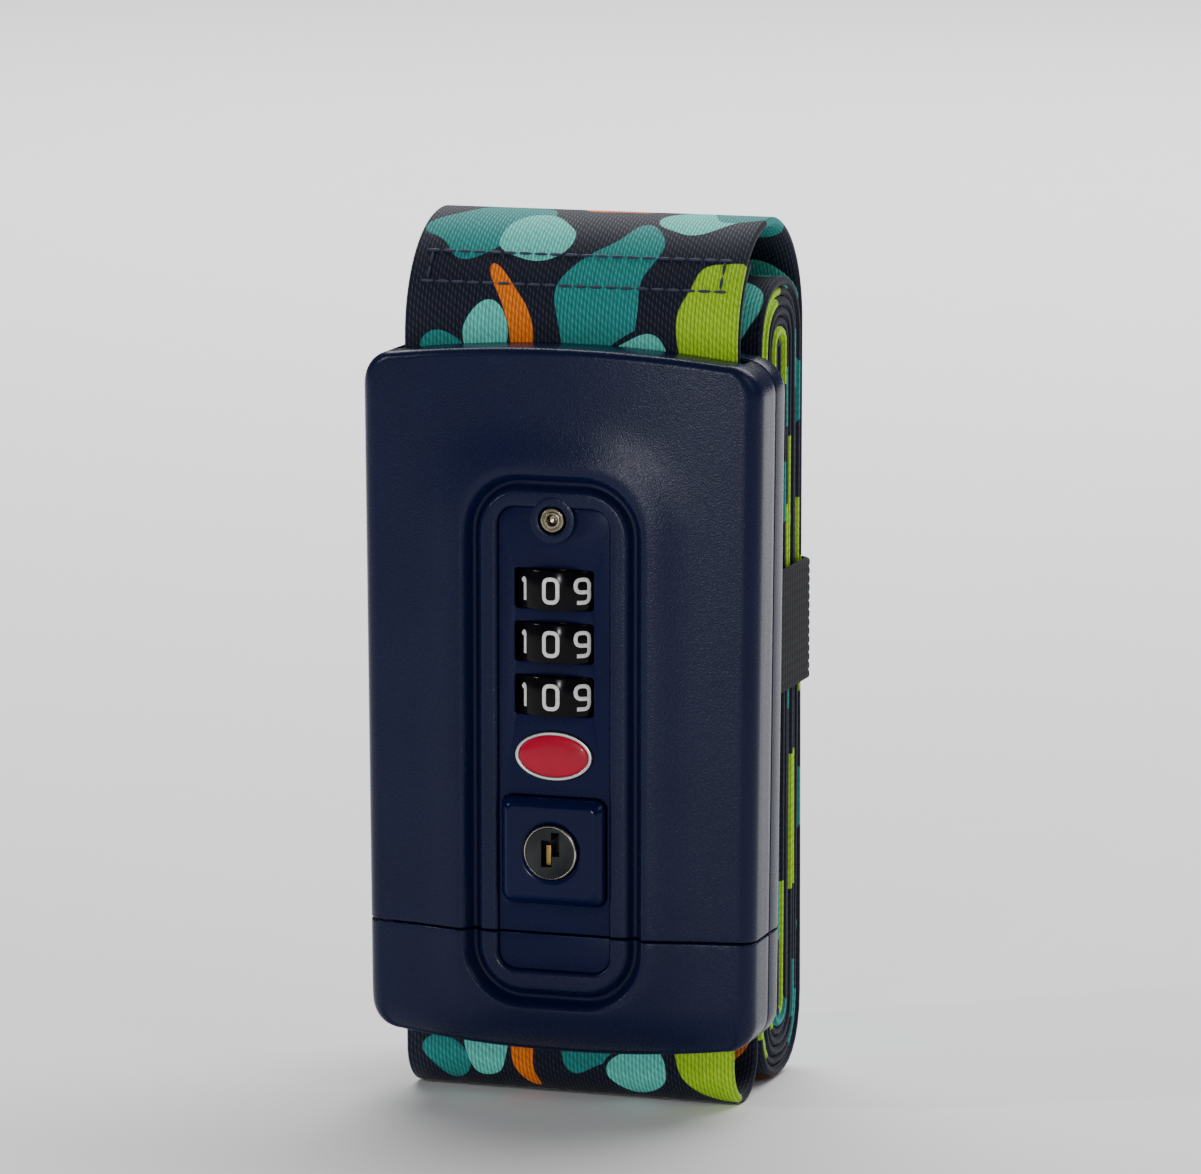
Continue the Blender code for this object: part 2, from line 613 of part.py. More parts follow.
def make_lock(pivots, materials):
    for k, z in enumerate(dial_heights()):
        place(dial(k, z), f"dial_{k + 1}_group", "black", pivots, materials)
        place(dial_sleeve(k, z), f"dial_{k + 1}_group", "brass", pivots, materials)
    place(dial_shaft(), "shaft_group", "steel", pivots, materials)
    place(reset_pin(), "reset_group", "nickel", pivots, materials)
    place(release_button(), "button_group", "blue", pivots, materials)
    place(fence_bar(), "button_group", "zinc", pivots, materials)
    for k, side in enumerate((-1, 1)):
        centre = (side * CORNER_SPRING, BUTTON_Z + side * CORNER_SPRING)
        spring = coil(f"button_spring_{k + 1}", centre, "y", 1.1, 0.2, BUTTON_BACK + GAP, 11.7, 5)
        place(spring, "button_group", "steel", pivots, materials)
    place(key_plug(), "plug_group", "nickel", pivots, materials)
    place(plug_cam(), "plug_group", "zinc", pivots, materials)
    place(latch_plate(), "latch_group", "zinc", pivots, materials)


# ---------------------------------------------------------------- tongue

def tongue_screw_places():
    return [(-17.0, 19.8), (17.0, 19.8)]


def tongue_side_profile(inset, front_edge):
    """Side view (depth, z) whose lower front edge rolls round to the bottom."""
    low, high = BUCKLE_BOTTOM + inset, SEAM_Z + 2
    roll = arc((ROLL_DEPTH + inset, low + ROLL_HEIGHT), (ROLL_DEPTH, ROLL_HEIGHT), 180, 270, 6)
    heel = 2.0
    back = arc((BUCKLE_DEPTH - inset - heel, low + heel), heel, 270, 360, 3)
    return ([(front_edge, high), (front_edge, low + ROLL_HEIGHT + 0.01)] + roll + back
            + [(BUCKLE_DEPTH - inset, high)])


def tongue_front():
    top = SEAM_Z - GAP / 2
    shell = extrude("tongue_front", crown_section(0, SPLIT_DEPTH), "z", BUCKLE_BOTTOM - 1, top)
    trim(shell, extrude("outline", tongue_outline(0, top), "y", -2, SPLIT_DEPTH + 1))
    trim(shell, extrude("profile", tongue_side_profile(0, -1), "x", -32, 32))
    cavity = extrude("cavity", crown_section(WALL, SPLIT_DEPTH + 1), "z", BUCKLE_BOTTOM, top + 1)
    trim(cavity, extrude("outline", tongue_outline(WALL, top + 1), "y", -2, SPLIT_DEPTH + 2))
    trim(cavity, extrude("profile", tongue_side_profile(WALL, WALL), "x", -32, 32))
    cut(shell, cavity)
    cut(shell, block("slot", (-SLOT_HALF_WIDTH, SLOT_HALF_WIDTH), (SLOT_FRONT, SPLIT_DEPTH + 1),
                     (BUCKLE_BOTTOM - 2, BUCKLE_BOTTOM + 7)))
    face_relief(shell)
    cut(shell, extrude("inlay_pocket", rounded_rectangle((-PANEL_WIDTH / 2 - GAP, PANEL_BOTTOM - GAP),
                                                         (PANEL_WIDTH / 2 + GAP, SEAM_Z + 5), PANEL_CORNER),
                       "y", -2, PANEL_FACE + 0.6))
    for x, z in tongue_screw_places():
        join(shell, extrude("boss", circle((x, z), TONGUE_BOSS, 16), "y", WALL + 1, BUCKLE_DEPTH - WALL - GAP))
        cut(shell, extrude("pilot", circle((x, z), CLEARANCE, 12), "y", WALL + 3, BUCKLE_DEPTH))
    return shell


def tongue_back():
    top = SEAM_Z - GAP / 2
    shell = extrude("tongue_back", back_section(0, SPLIT_DEPTH + GAP), "z", BUCKLE_BOTTOM - 1, top)
    trim(shell, extrude("outline", tongue_outline(0, top), "y", SPLIT_DEPTH, BUCKLE_DEPTH + 1))
    trim(shell, extrude("profile", tongue_side_profile(0, -1), "x", -32, 32))
    cavity = extrude("cavity", back_section(WALL, SPLIT_DEPTH - 1), "z", BUCKLE_BOTTOM, top + 1)
    trim(cavity, extrude("outline", tongue_outline(WALL, top + 1), "y", SPLIT_DEPTH - 2, BUCKLE_DEPTH))
    cut(shell, cavity)
    for x, z in tongue_screw_places():
        cut(shell, extrude("clearance", circle((x, z), CLEARANCE, 16), "y", SPLIT_DEPTH, BUCKLE_DEPTH + 1))
        cut(shell, extrude("counterbore", circle((x, z), COUNTERBORE, 16), "y", BUCKLE_DEPTH - HEAD_DEPTH,
                           BUCKLE_DEPTH + 1))
    return shell


def tongue_inlay():
    """Lower end of the inlay, in the tongue's own face."""
    return extrude("tongue_inlay", rounded_rectangle((-PANEL_WIDTH / 2, PANEL_BOTTOM),
                                                     (PANEL_WIDTH / 2, SEAM_Z - GAP / 2), PANEL_CORNER / 2),
                   "y", PANEL_FACE, PANEL_FACE + 0.4)


def tongue_fork():
    """Stamped fork: a cross plate in the tongue with two stepped prongs for the housing."""
    base_low, base_high, shoulder = 16.5, 23.0, LATCH_Z - LATCH_HALF - GAP
    step = PRONG_STEP - PRONG_INNER
    right = [(PRONG_INNER, base_high), (PRONG_INNER, shoulder), (PRONG_STEP, shoulder),
             (PRONG_STEP, PRONG_TOP - 1.5), (PRONG_STEP + 1, PRONG_TOP), (PRONG_OUTER - 1.5, PRONG_TOP),
             (PRONG_OUTER, PRONG_TOP - 2), (PRONG_OUTER, base_high), (PRONG_OUTER, base_low)]
    left = [(-PRONG_OUTER, base_low), (-PRONG_OUTER, shoulder), (-PRONG_OUTER + step, shoulder),
            (-PRONG_OUTER + step, PRONG_TOP - 2), (-PRONG_OUTER + step + 1, PRONG_TOP),
            (-PRONG_INNER - 1.5, PRONG_TOP), (-PRONG_INNER, PRONG_TOP - 2), (-PRONG_INNER, base_high)]
    fork = extrude("tongue_fork", left + right, "y", FORK_FRONT, FORK_BACK)
    for x, z in tongue_screw_places():
        cut(fork, extrude("boss_hole", circle((x, z), TONGUE_BOSS + GAP, 16), "y", 0, BUCKLE_DEPTH))
    return fork


def webbing_bar(name, z, half_length):
    bar = extrude(name, circle((WEBBING_DEPTH, z), BAR_RADIUS, 20), "x", -half_length, half_length)
    return soften(bar, 0.3, 1)


# ---------------------------------------------------------------- webbing

def top_run():
    """Webbing from the housing's bar, up and over the pack, down its back."""
    radius = (REAR_LEG - WEBBING_DEPTH) / 2
    start_z = HOUSING_BAR_Z + BAR_RADIUS + GAP + 0.1
    path = [(WEBBING_DEPTH, start_z)]
    path += arc((WEBBING_DEPTH + radius, ARCH_SPRING_Z), radius, 180, 0, 20)
    path += [(REAR_LEG, TUCK_Z)]
    return ribbon("webbing_top_run", path)


def bottom_run():
    """Webbing from the tongue's bar, round under the buckle and up behind it."""
    radius = (BACK_LEG - WEBBING_DEPTH) / 2
    centre_z = radius + WEBBING_THICKNESS / 2
    path = [(WEBBING_DEPTH, TONGUE_BAR_Z - BAR_RADIUS - GAP - 0.1)]
    path += arc((WEBBING_DEPTH + radius, centre_z), radius, 180, 360, 14)
    path += [(BACK_LEG, ARCH_SPRING_Z - 2)]
    return ribbon("webbing_bottom_run", path)


def pack():
    """The folded length, as one closed block behind the buckle."""
    outline = rounded_rectangle((PACK_FRONT, 0), (PACK_BACK, PACK_HEIGHT), PACK_CORNER, 5)
    return extrude("webbing_pack", outline, "x", -WEBBING_WIDTH / 2, WEBBING_WIDTH / 2)


def keeper():
    """Elastic band round the pack and the two legs of webbing on it."""
    half = WEBBING_WIDTH / 2 + 0.4
    outer = half + KEEPER_THICKNESS
    band = extrude("elastic_keeper", rounded_rectangle((-outer, KEEPER_FRONT), (outer, KEEPER_BACK), 1.8, 3),
                   "z", KEEPER_LOW, KEEPER_HIGH)
    return cut(band, block("inside", (-half, half), (KEEPER_FRONT + KEEPER_THICKNESS,
                                                     KEEPER_BACK - KEEPER_THICKNESS),
                           (KEEPER_LOW - 1, KEEPER_HIGH + 1)))


def make_base(pivots, materials):
    for solid, finish in ((tongue_front(), "navy"), (tongue_back(), "navy"), (tongue_inlay(), "blue"),
                          (tongue_fork(), "steel"),
                          (webbing_bar("adjuster_bar", TONGUE_BAR_Z, TONGUE_BAR_HALF), "steel"),
                          (bottom_run(), "webbing"), (pack(), "webbing"), (keeper(), "elastic")):
        place(solid, "base_group", finish, pivots, materials)
    for k, (x, z) in enumerate(tongue_screw_places()):
        screw = case_screw(f"tongue_screw_{k + 1}", x, z, 6.5, BUCKLE_DEPTH)
        place(screw, "base_group", "zinc", pivots, materials)


def main():
    for old in list(bpy.data.objects):
        bpy.data.objects.remove(old)
    pivots = make_pivots()
    materials = make_materials()
    make_base(pivots, materials)
    make_housing(pivots, materials)
    make_lock(pivots, materials)


main()
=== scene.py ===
"""Luggage strap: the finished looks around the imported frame.

A navy combination-lock buckle stands on its folded 50 mm webbing. Lengths in this
script are millimetres unless a name ends in _m, and `world` turns them into metres.
"Depth" is measured backwards (+Y) from the ridge of the buckle's crowned face.
"""

import json
import math
import random

import bmesh
import bpy
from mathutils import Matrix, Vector

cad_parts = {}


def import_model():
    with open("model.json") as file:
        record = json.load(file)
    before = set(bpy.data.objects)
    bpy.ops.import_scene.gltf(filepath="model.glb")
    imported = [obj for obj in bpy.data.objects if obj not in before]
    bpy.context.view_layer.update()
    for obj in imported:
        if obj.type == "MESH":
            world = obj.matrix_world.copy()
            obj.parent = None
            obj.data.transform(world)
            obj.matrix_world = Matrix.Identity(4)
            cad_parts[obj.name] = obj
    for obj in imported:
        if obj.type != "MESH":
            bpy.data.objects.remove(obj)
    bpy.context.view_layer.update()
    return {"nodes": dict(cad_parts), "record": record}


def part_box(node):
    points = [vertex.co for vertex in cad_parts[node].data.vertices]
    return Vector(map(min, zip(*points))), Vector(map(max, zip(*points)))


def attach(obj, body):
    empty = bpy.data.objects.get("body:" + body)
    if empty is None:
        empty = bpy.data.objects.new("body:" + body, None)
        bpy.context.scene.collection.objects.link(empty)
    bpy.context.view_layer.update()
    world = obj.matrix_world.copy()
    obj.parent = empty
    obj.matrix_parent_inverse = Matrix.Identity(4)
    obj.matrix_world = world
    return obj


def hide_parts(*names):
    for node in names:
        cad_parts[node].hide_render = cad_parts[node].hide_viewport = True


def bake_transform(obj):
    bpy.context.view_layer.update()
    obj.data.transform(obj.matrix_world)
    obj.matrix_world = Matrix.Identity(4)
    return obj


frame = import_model()

MM = 0.001


def node_box(name):
    low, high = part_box(name)
    return low / MM, high / MM


HOUSING = node_box("housing_front")
TONGUE = node_box("tongue_front")
PANEL = node_box("lock_panel")
BUTTON = node_box("release_button")
PLUG = node_box("key_plug")
PIN = node_box("reset_pin")
BADGE = node_box("emblem_badge")
TOP_RUN = node_box("webbing_top_run")
BOTTOM_RUN = node_box("webbing_bottom_run")
KEEPER = node_box("elastic_keeper")
BACK_SHELL = node_box("housing_back")

# Places read from the frame
RIDGE_Y = HOUSING[0].y
SEAM_Z = (HOUSING[0].z + TONGUE[1].z) / 2
SEAM_GAP = HOUSING[0].z - TONGUE[1].z
HOUSING_TOP = HOUSING[1].z
BUCKLE_BOTTOM = TONGUE[0].z
HALF_WIDTH = HOUSING[1].x
SPLIT_DEPTH = BACK_SHELL[0].y - RIDGE_Y
BUCKLE_DEPTH = BACK_SHELL[1].y - RIDGE_Y
PANEL_FACE = PANEL[0].y - RIDGE_Y
BUTTON_Z = (BUTTON[0].z + BUTTON[1].z) / 2
BUTTON_FACE = BUTTON[0].y - RIDGE_Y
PLUG_FACE = PLUG[0].y - RIDGE_Y
PIN_Z = (PIN[0].z + PIN[1].z) / 2
PIN_FACE = PIN[0].y - RIDGE_Y
BADGE_Z = (BADGE[0].z + BADGE[1].z) / 2
WEBBING_WIDTH = TOP_RUN[1].x - TOP_RUN[0].x

# Shape of the case
WALL = 2.2
CROWN_RADIUS = 151.0
ARCH_RADIUS = 186.0
TOP_CORNER, BOTTOM_CORNER = 5.0, 4.5
TONGUE_TAPER = 0.8
SIDE_ROUND, TOP_ROUND, BOTTOM_ROUND = 2.8, 1.1, 0.5
ROLL_HEIGHT, ROLL_DEPTH = 8.0, 6.0        # how the tongue's face rolls round to its lower end
SWELL_RISE, SWELL_REACH = 0.90, 4.6       # soft lip of the face around the groove
FACE_BACK = 0.3                           # how far the face away from the lip stands behind the ridge
SEAM_ROUND, SEAM_PULL = 0.24, 0.7         # round of each edge at the seam, and how much of it is taken off
SLOT_HALF, SLOT_FRONT = 26.5, 6.8         # slots for the webbing in both ends
SCREW_SINK = (2.6, 1.3)                   # radius and depth of the sink for a screw's head
SCREW_HOLE = (1.6, 4.0)                   # radius and depth of its hole

# Sunken ring around the lock
FACE_CENTRE_Z = 54.15
GROOVE_HALF, GROOVE_TALL, GROOVE_CORNER = 12.7, 76.1, 8.0
RING_HALF, RING_TALL, RING_CORNER = 11.25, 73.2, 6.6
OPENING_HALF, OPENING_LOW, OPENING_HIGH, OPENING_CORNER = 8.45, 20.5, 88.1, 2.7
RING_DROP, GROOVE_DROP = 0.4, 1.40
CHANNEL_SPREAD, LIP_OUT = 0.55, 1.0       # how far the channel's soft sides reach beyond its outlines

# Lock pieces
DIAL_RADIUS, DIAL_HEIGHT, DIAL_BORE = node_box("dial_1")[1].x, 5.66, 3.3
WINDOW_WIDTH, WINDOW_HEIGHT, WINDOW_CORNER = 11.9, 5.8, 0.45
PANEL_THICK, TONGUE_INLAY_THICK, PLATE_BEVEL = 0.9, 1.4, 0.14
INLAY_GAP, BUTTON_GAP, BADGE_GAP, PLUG_CLEARANCE = 0.05, 0.16, 0.15, 0.15
LOBE_RADIUS = 3.4
DIGIT_HEIGHT, DIGIT_WIDTH, DIGIT_STROKE, DIGIT_CORNER = 3.9, 2.6, 0.56, 0.9
DIALS = (("dial_1", "dial_one"), ("dial_2", "dial_two"), ("dial_3", "dial_three"))


def world(x, depth, z):
    """A point given in millimetres, as a vector in metres."""
    return Vector((x, RIDGE_Y + depth, z)) * MM


# ---------------------------------------------------------------- node helpers

class Nodes:
    """Short way to add and link a material's shader nodes."""

    def __init__(self, name):
        self.material = bpy.data.materials.new(name)
        self.material.use_nodes = True
        self.tree = self.material.node_tree
        self.shader = self.tree.nodes["Principled BSDF"]

    def add(self, kind, settings=None, **inputs):
        """New node; an input is given by its name, or as i0, i1 and so on by its place."""
        node = self.tree.nodes.new(kind)
        for key, value in (settings or {}).items():
            setattr(node, key, value)
        for key, value in inputs.items():
            self.feed(node, key, value)
        return node

    def feed(self, node, key, value):
        socket = node.inputs[int(key[1:])] if key[0] == "i" and key[1:].isdigit() else node.inputs[key]
        if isinstance(value, bpy.types.NodeSocket):
            self.tree.links.new(value, socket)
        else:
            socket.default_value = value

    def math(self, operation, a, b=0.0, c=0.0):
        node = self.add("ShaderNodeMath", {"operation": operation}, i0=a, i1=b, i2=c)
        return node.outputs[0]

    def vector_math(self, operation, *inputs):
        node = self.add("ShaderNodeVectorMath", {"operation": operation})
        for k, value in enumerate(inputs):
            self.feed(node, f"i{k}", value)
        return node.outputs["Value" if operation == "LENGTH" else "Vector"]

    def object_point(self):
        return self.add("ShaderNodeTexCoord").outputs["Object"]

    def noise(self, scale, detail=2.0, vector=None, roughness=0.5):
        node = self.add("ShaderNodeTexNoise", Scale=scale, Detail=detail, Roughness=roughness)
        self.tree.links.new(vector or self.object_point(), node.inputs["Vector"])
        return node.outputs["Fac"]

    def between(self, value, low, high, out_low, out_high):
        node = self.add("ShaderNodeMapRange", i0=value, i1=low, i2=high, i3=out_low, i4=out_high)
        return node.outputs[0]

    def mix(self, factor, a, b, mode="MIX"):
        node = self.add("ShaderNodeMix", {"data_type": "RGBA", "blend_type": mode})
        for index, value in ((0, factor), (6, a), (7, b)):
            if isinstance(value, bpy.types.NodeSocket):
                self.tree.links.new(value, node.inputs[index])
            else:
                node.inputs[index].default_value = value if index == 0 else (*value, 1.0)
        return node.outputs[2]

    def mix_value(self, factor, a, b):
        node = self.add("ShaderNodeMix", {"data_type": "FLOAT"}, i0=factor, i2=a, i3=b)
        return node.outputs[0]

    def bump(self, height, strength, distance_m):
        node = self.add("ShaderNodeBump", Strength=strength, Distance=distance_m, Height=height)
        self.tree.links.new(node.outputs["Normal"], self.shader.inputs["Normal"])

    def set(self, **inputs):
        for key, value in inputs.items():
            self.feed(self.shader, key.replace("_", " "), value)
        return self.material


def grainless_shaded_channel(n):
    """1 in the relief channel of the case's face and 0 away from it, from the piece's own coordinates; there
    the grain is left out and the colour is darkened as painted shade.
    """
    point = n.add("ShaderNodeSeparateXYZ", Vector=n.object_point())

    def beyond(value, centre, half):
        away = n.math("ABSOLUTE", n.math("SUBTRACT", n.math("DIVIDE", value, MM), centre))
        return n.math("SUBTRACT", away, half - GROOVE_CORNER)

    across = beyond(point.outputs["X"], 0.0, GROOVE_HALF)
    up = beyond(point.outputs["Z"], FACE_CENTRE_Z, GROOVE_TALL / 2)
    corner = n.add("ShaderNodeCombineXYZ", i0=n.math("MAXIMUM", across, 0.0), i1=n.math("MAXIMUM", up, 0.0))
    outside = n.vector_math("LENGTH", corner.outputs[0])
    inside = n.math("MINIMUM", n.math("MAXIMUM", across, up), 0.0)
    distance = n.math("SUBTRACT", n.math("ADD", outside, inside), GROOVE_CORNER)
    width = GROOVE_HALF - RING_HALF
    band = n.math("MULTIPLY", n.between(distance, -width, -width + 0.5, 0.0, 1.0),
                  n.between(distance, 0.0, 0.7, 1.0, 0.0))
    on_front = n.math("LESS_THAN", point.outputs["Y"], (RIDGE_Y + SPLIT_DEPTH / 2) * MM)
    return n.math("MULTIPLY", band, on_front)


def case_plastic():
    """Navy plastic of the case: grained, and free of grain in the relief channel, where a deeper colour is
    painted in as the channel's shade.
    """
    n = Nodes("navy_plastic")
    grainless_and_shaded = grainless_shaded_channel(n)
    drift = n.noise(60.0, 3.0)
    grain = n.noise(1.0 / (0.24 * MM), 2.0)
    grained = n.mix(n.between(drift, 0.3, 0.7, 0.0, 1.0), (0.0044, 0.0074, 0.0330), (0.0056, 0.0092, 0.0390))
    rough = n.math("ADD", n.between(grain, 0.3, 0.7, 0.21, 0.31), n.between(drift, 0.3, 0.7, -0.02, 0.02))
    height = n.mix_value(grainless_and_shaded, grain, 0.5)
    n.bump(height, 0.55, 0.00007)
    n.shader.inputs["Specular IOR Level"].default_value = 0.17
    # in the relief channel the colour is darkened as painted shade of the groove
    return n.set(Base_Color=n.mix(grainless_and_shaded, grained, (0.0016, 0.0038, 0.0300)),
                 Roughness=n.math("ADD", rough, n.math("MULTIPLY", grainless_and_shaded, 0.16)))


def moulded_plastic(name, dark, light, roughness, grain_size, grain_strength, gloss):
    """Moulded plastic with a fine spark-eroded grain and faint drifts of tone."""
    n = Nodes(name)
    drift = n.noise(60.0, 3.0)
    grain = n.noise(1.0 / (grain_size * MM), 2.0)
    colour = n.mix(n.between(drift, 0.3, 0.7, 0.0, 1.0), dark, light)
    rough = n.math("ADD", n.between(grain, 0.3, 0.7, roughness - 0.05, roughness + 0.07),
                   n.between(drift, 0.3, 0.7, -0.02, 0.02))
    n.bump(grain, grain_strength, 0.00007)
    n.shader.inputs["Specular IOR Level"].default_value = gloss
    return n.set(Base_Color=colour, Roughness=rough)


def plated_metal(name, dark, light, roughness, scratch=(900.0, 40.0, 40.0), relief=0.12):
    """Plated or brushed metal: fine lines along one axis, with clouded tone."""
    n = Nodes(name)
    lines = n.add("ShaderNodeMapping", Vector=n.object_point(), Scale=scratch).outputs[0]
    brush = n.noise(6.0, 3.0, lines)
    cloud = n.noise(220.0, 3.0)
    colour = n.mix(n.between(cloud, 0.3, 0.7, 0.0, 1.0), dark, light)
    n.bump(brush, relief, 0.00003)
    n.shader.inputs["Metallic"].default_value = 1.0
    return n.set(Base_Color=colour, Roughness=n.between(brush, 0.3, 0.7, roughness - 0.06, roughness + 0.08))


def dial_plastic():
    """Glossy black plastic with light handling marks."""
    n = Nodes("black_dial_plastic")
    marks = n.noise(700.0, 4.0)
    n.bump(marks, 0.05, 0.00003)
    n.shader.inputs["Specular IOR Level"].default_value = 0.10
    return n.set(Base_Color=n.mix(marks, (0.002, 0.002, 0.003), (0.004, 0.004, 0.005)),
                 Roughness=n.between(marks, 0.3, 0.7, 0.12, 0.20))


def digit_paint():
    """White paint, slightly rubbed."""
    n = Nodes("white_digit_paint")
    wear = n.noise(1500.0, 3.0)
    colour = n.mix(n.between(wear, 0.3, 0.75, 0.0, 1.0), (0.80, 0.80, 0.78), (0.62, 0.62, 0.61))
    return n.set(Base_Color=colour, Roughness=n.between(wear, 0.3, 0.7, 0.4, 0.55))


def red_enamel():
    """Clear-coated enamel with a faint pooled depth."""
    n = Nodes("red_enamel")
    pool = n.noise(350.0, 2.0)
    n.shader.inputs["Coat Weight"].default_value = 0.25
    n.shader.inputs["Coat Roughness"].default_value = 0.03
    n.shader.inputs["Specular IOR Level"].default_value = 0.15
    return n.set(Base_Color=n.mix(pool, (0.34, 0.001, 0.020), (0.48, 0.002, 0.030)), Roughness=0.3)


# Print of the webbing, in linear colour
NAVY_GROUND = (0.0045, 0.0070, 0.0240)
AQUA = (0.130, 0.680, 0.590)
TEAL = (0.008, 0.270, 0.255)
ORANGE = (0.930, 0.205, 0.004)
LIME = (0.380, 0.680, 0.010)

RIB_PITCH, PICK_PITCH, TWILL_SLOPE = 0.56, 1.15, 1.0
PRINT_REPEAT, PRINT_START = 94.0, -8.0
PRINT_WOBBLE = 4.2            # how far the noise pushes the outlines of the shapes

# Shapes of one repeat, undermost first: (centre across, along), (half sizes), tilt in degrees, colour
PRINT_SHAPES = (
    ((30.2, 13.0), (5.4, 12.5), -20, TEAL), ((34.9, 3.6), (4.6, 4.7), 0, NAVY_GROUND),
    ((34.9, 3.4), (4.0, 4.1), 0, AQUA), ((6.2, 3.6), (3.3, 3.4), 0, TEAL),
    ((12.2, 5.0), (3.0, 4.4), 12, AQUA), ((16.6, 8.0), (2.1, 9.0), 20, ORANGE),
    ((50.5, 7.6), (9.6, 10.2), 0, LIME), ((10.0, 25.0), (9.5, 6.6), 24, TEAL),
    ((17.5, 22.0), (5.6, 4.4), -20, AQUA), ((41.0, 28.5), (6.6, 5.0), 35, AQUA),
    ((45.5, 33.5), (5.6, 6.6), 10, TEAL), ((27.0, 34.5), (6.4, 4.6), -30, ORANGE),
    ((5.0, 39.0), (7.4, 5.2), 0, LIME), ((19.0, 45.5), (9.2, 6.2), 22, AQUA),
    ((36.5, 46.0), (7.2, 5.6), -35, TEAL), ((43.5, 51.5), (6.0, 4.2), 10, AQUA),
    ((30.0, 57.0), (4.4, 6.6), 30, ORANGE), ((8.5, 57.0), (7.2, 6.0), -18, TEAL),
    ((17.0, 64.5), (5.4, 5.8), 0, LIME), ((41.5, 65.5), (8.0, 6.2), 25, AQUA),
    ((34.5, 70.5), (5.4, 4.6), 0, TEAL), ((7.0, 72.5), (5.0, 5.6), 0, AQUA),
    ((24.0, 77.0), (8.6, 5.4), 15, TEAL), ((44.5, 79.5), (5.2, 3.8), -30, ORANGE),
    ((13.0, 81.0), (4.0, 3.4), 0, AQUA),
)


def printed_webbing():
    """Polyester webbing: slanting twill in narrow ribs under a repeat of soft round shapes.

    The UV map runs in millimetres: U across the webbing, V along it.
    """
    n = Nodes("printed_webbing")
    uv = n.add("ShaderNodeUVMap", {"uv_map": "webbing_mm"}).outputs["UV"]
    parts = n.add("ShaderNodeSeparateXYZ", Vector=uv)
    across, along = parts.outputs["X"], parts.outputs["Y"]

    # the print
    repeats = n.math("DIVIDE", n.math("SUBTRACT", along, PRINT_START), PRINT_REPEAT)
    repeat = n.math("ADD", n.math("MULTIPLY", n.math("FRACT", repeats), PRINT_REPEAT), PRINT_START)
    place = n.add("ShaderNodeCombineXYZ", i0=across, i1=repeat).outputs[0]
    wobble = n.add("ShaderNodeTexNoise", {"noise_dimensions": "2D"}, Vector=place, Scale=0.11, Detail=0.0)
    push = n.vector_math("SUBTRACT", wobble.outputs["Color"], (0.5, 0.5, 0.5))
    push = n.vector_math("MULTIPLY", push, (PRINT_WOBBLE, PRINT_WOBBLE, PRINT_WOBBLE))
    bent = n.vector_math("ADD", place, push)
    colour = NAVY_GROUND
    for centre, half_sizes, tilt, ink in PRINT_SHAPES:
        local = n.add("ShaderNodeMapping", {"vector_type": "TEXTURE"}, Vector=bent, Location=(*centre, 0.0),
                      Rotation=(0.0, 0.0, math.radians(tilt)), Scale=(*half_sizes, 1.0)).outputs[0]
        reach = n.vector_math("LENGTH", n.vector_math("MULTIPLY", local, (1.0, 1.0, 0.0)))
        colour = n.mix(n.between(reach, 1.0, 0.982, 0.0, 1.0), colour, ink)

    # the weave: narrow ribs, each crossed by slanting picks; the print is darkened between the yarns as
    # painted shade and lightened on their crowns as painted light
    rib = n.math("FRACT", n.math("DIVIDE", across, RIB_PITCH))
    rib_round = n.math("SINE", n.math("MULTIPLY", rib, math.pi))
    fuzz = n.noise(1.3, 3.0, uv)
    slant = n.math("ADD", n.math("DIVIDE", along, PICK_PITCH), n.math("MULTIPLY", rib, TWILL_SLOPE))
    stagger = n.math("MULTIPLY", n.math("FLOOR", n.math("DIVIDE", across, RIB_PITCH)), 0.37)
    slant = n.math("ADD", n.math("ADD", slant, stagger), n.math("MULTIPLY", fuzz, 0.30))
    pick_round = n.math("ABSOLUTE", n.math("SINE", n.math("MULTIPLY", slant, math.pi)))
    yarn = n.math("MULTIPLY", n.math("POWER", rib_round, 0.8), n.math("POWER", pick_round, 0.35))
    height = n.math("ADD", yarn, n.math("MULTIPLY", fuzz, 0.25))
    n.bump(height, 0.5, 0.00016)
    # painted shade between the yarns and painted light on their crowns, times a random fuzz tone
    shade = n.math("MULTIPLY", n.between(yarn, 0.05, 0.95, 0.50, 1.20),
                   n.between(fuzz, 0.25, 0.75, 0.84, 1.14))
    grey = n.add("ShaderNodeCombineColor", i0=shade, i1=shade, i2=shade).outputs[0]
    weave_shaded_print = n.mix(1.0, colour, grey, "MULTIPLY")
    # painted highlight flecks on the highest yarn crowns
    yarn_glint = n.math("MULTIPLY", n.between(yarn, 0.84, 1.0, 0.0, 1.0), 0.045)
    n.shader.inputs["Sheen Weight"].default_value = 0.06
    n.shader.inputs["Sheen Roughness"].default_value = 0.4
    n.shader.inputs["Specular IOR Level"].default_value = 0.25
    return n.set(Base_Color=n.mix(yarn_glint, weave_shaded_print, (0.75, 0.85, 0.85)),
                 Roughness=n.between(yarn, 0.0, 1.0, 0.85, 0.62))


ELASTIC_PICKS = 2600.0        # radians of the picks' wave in each metre round the band


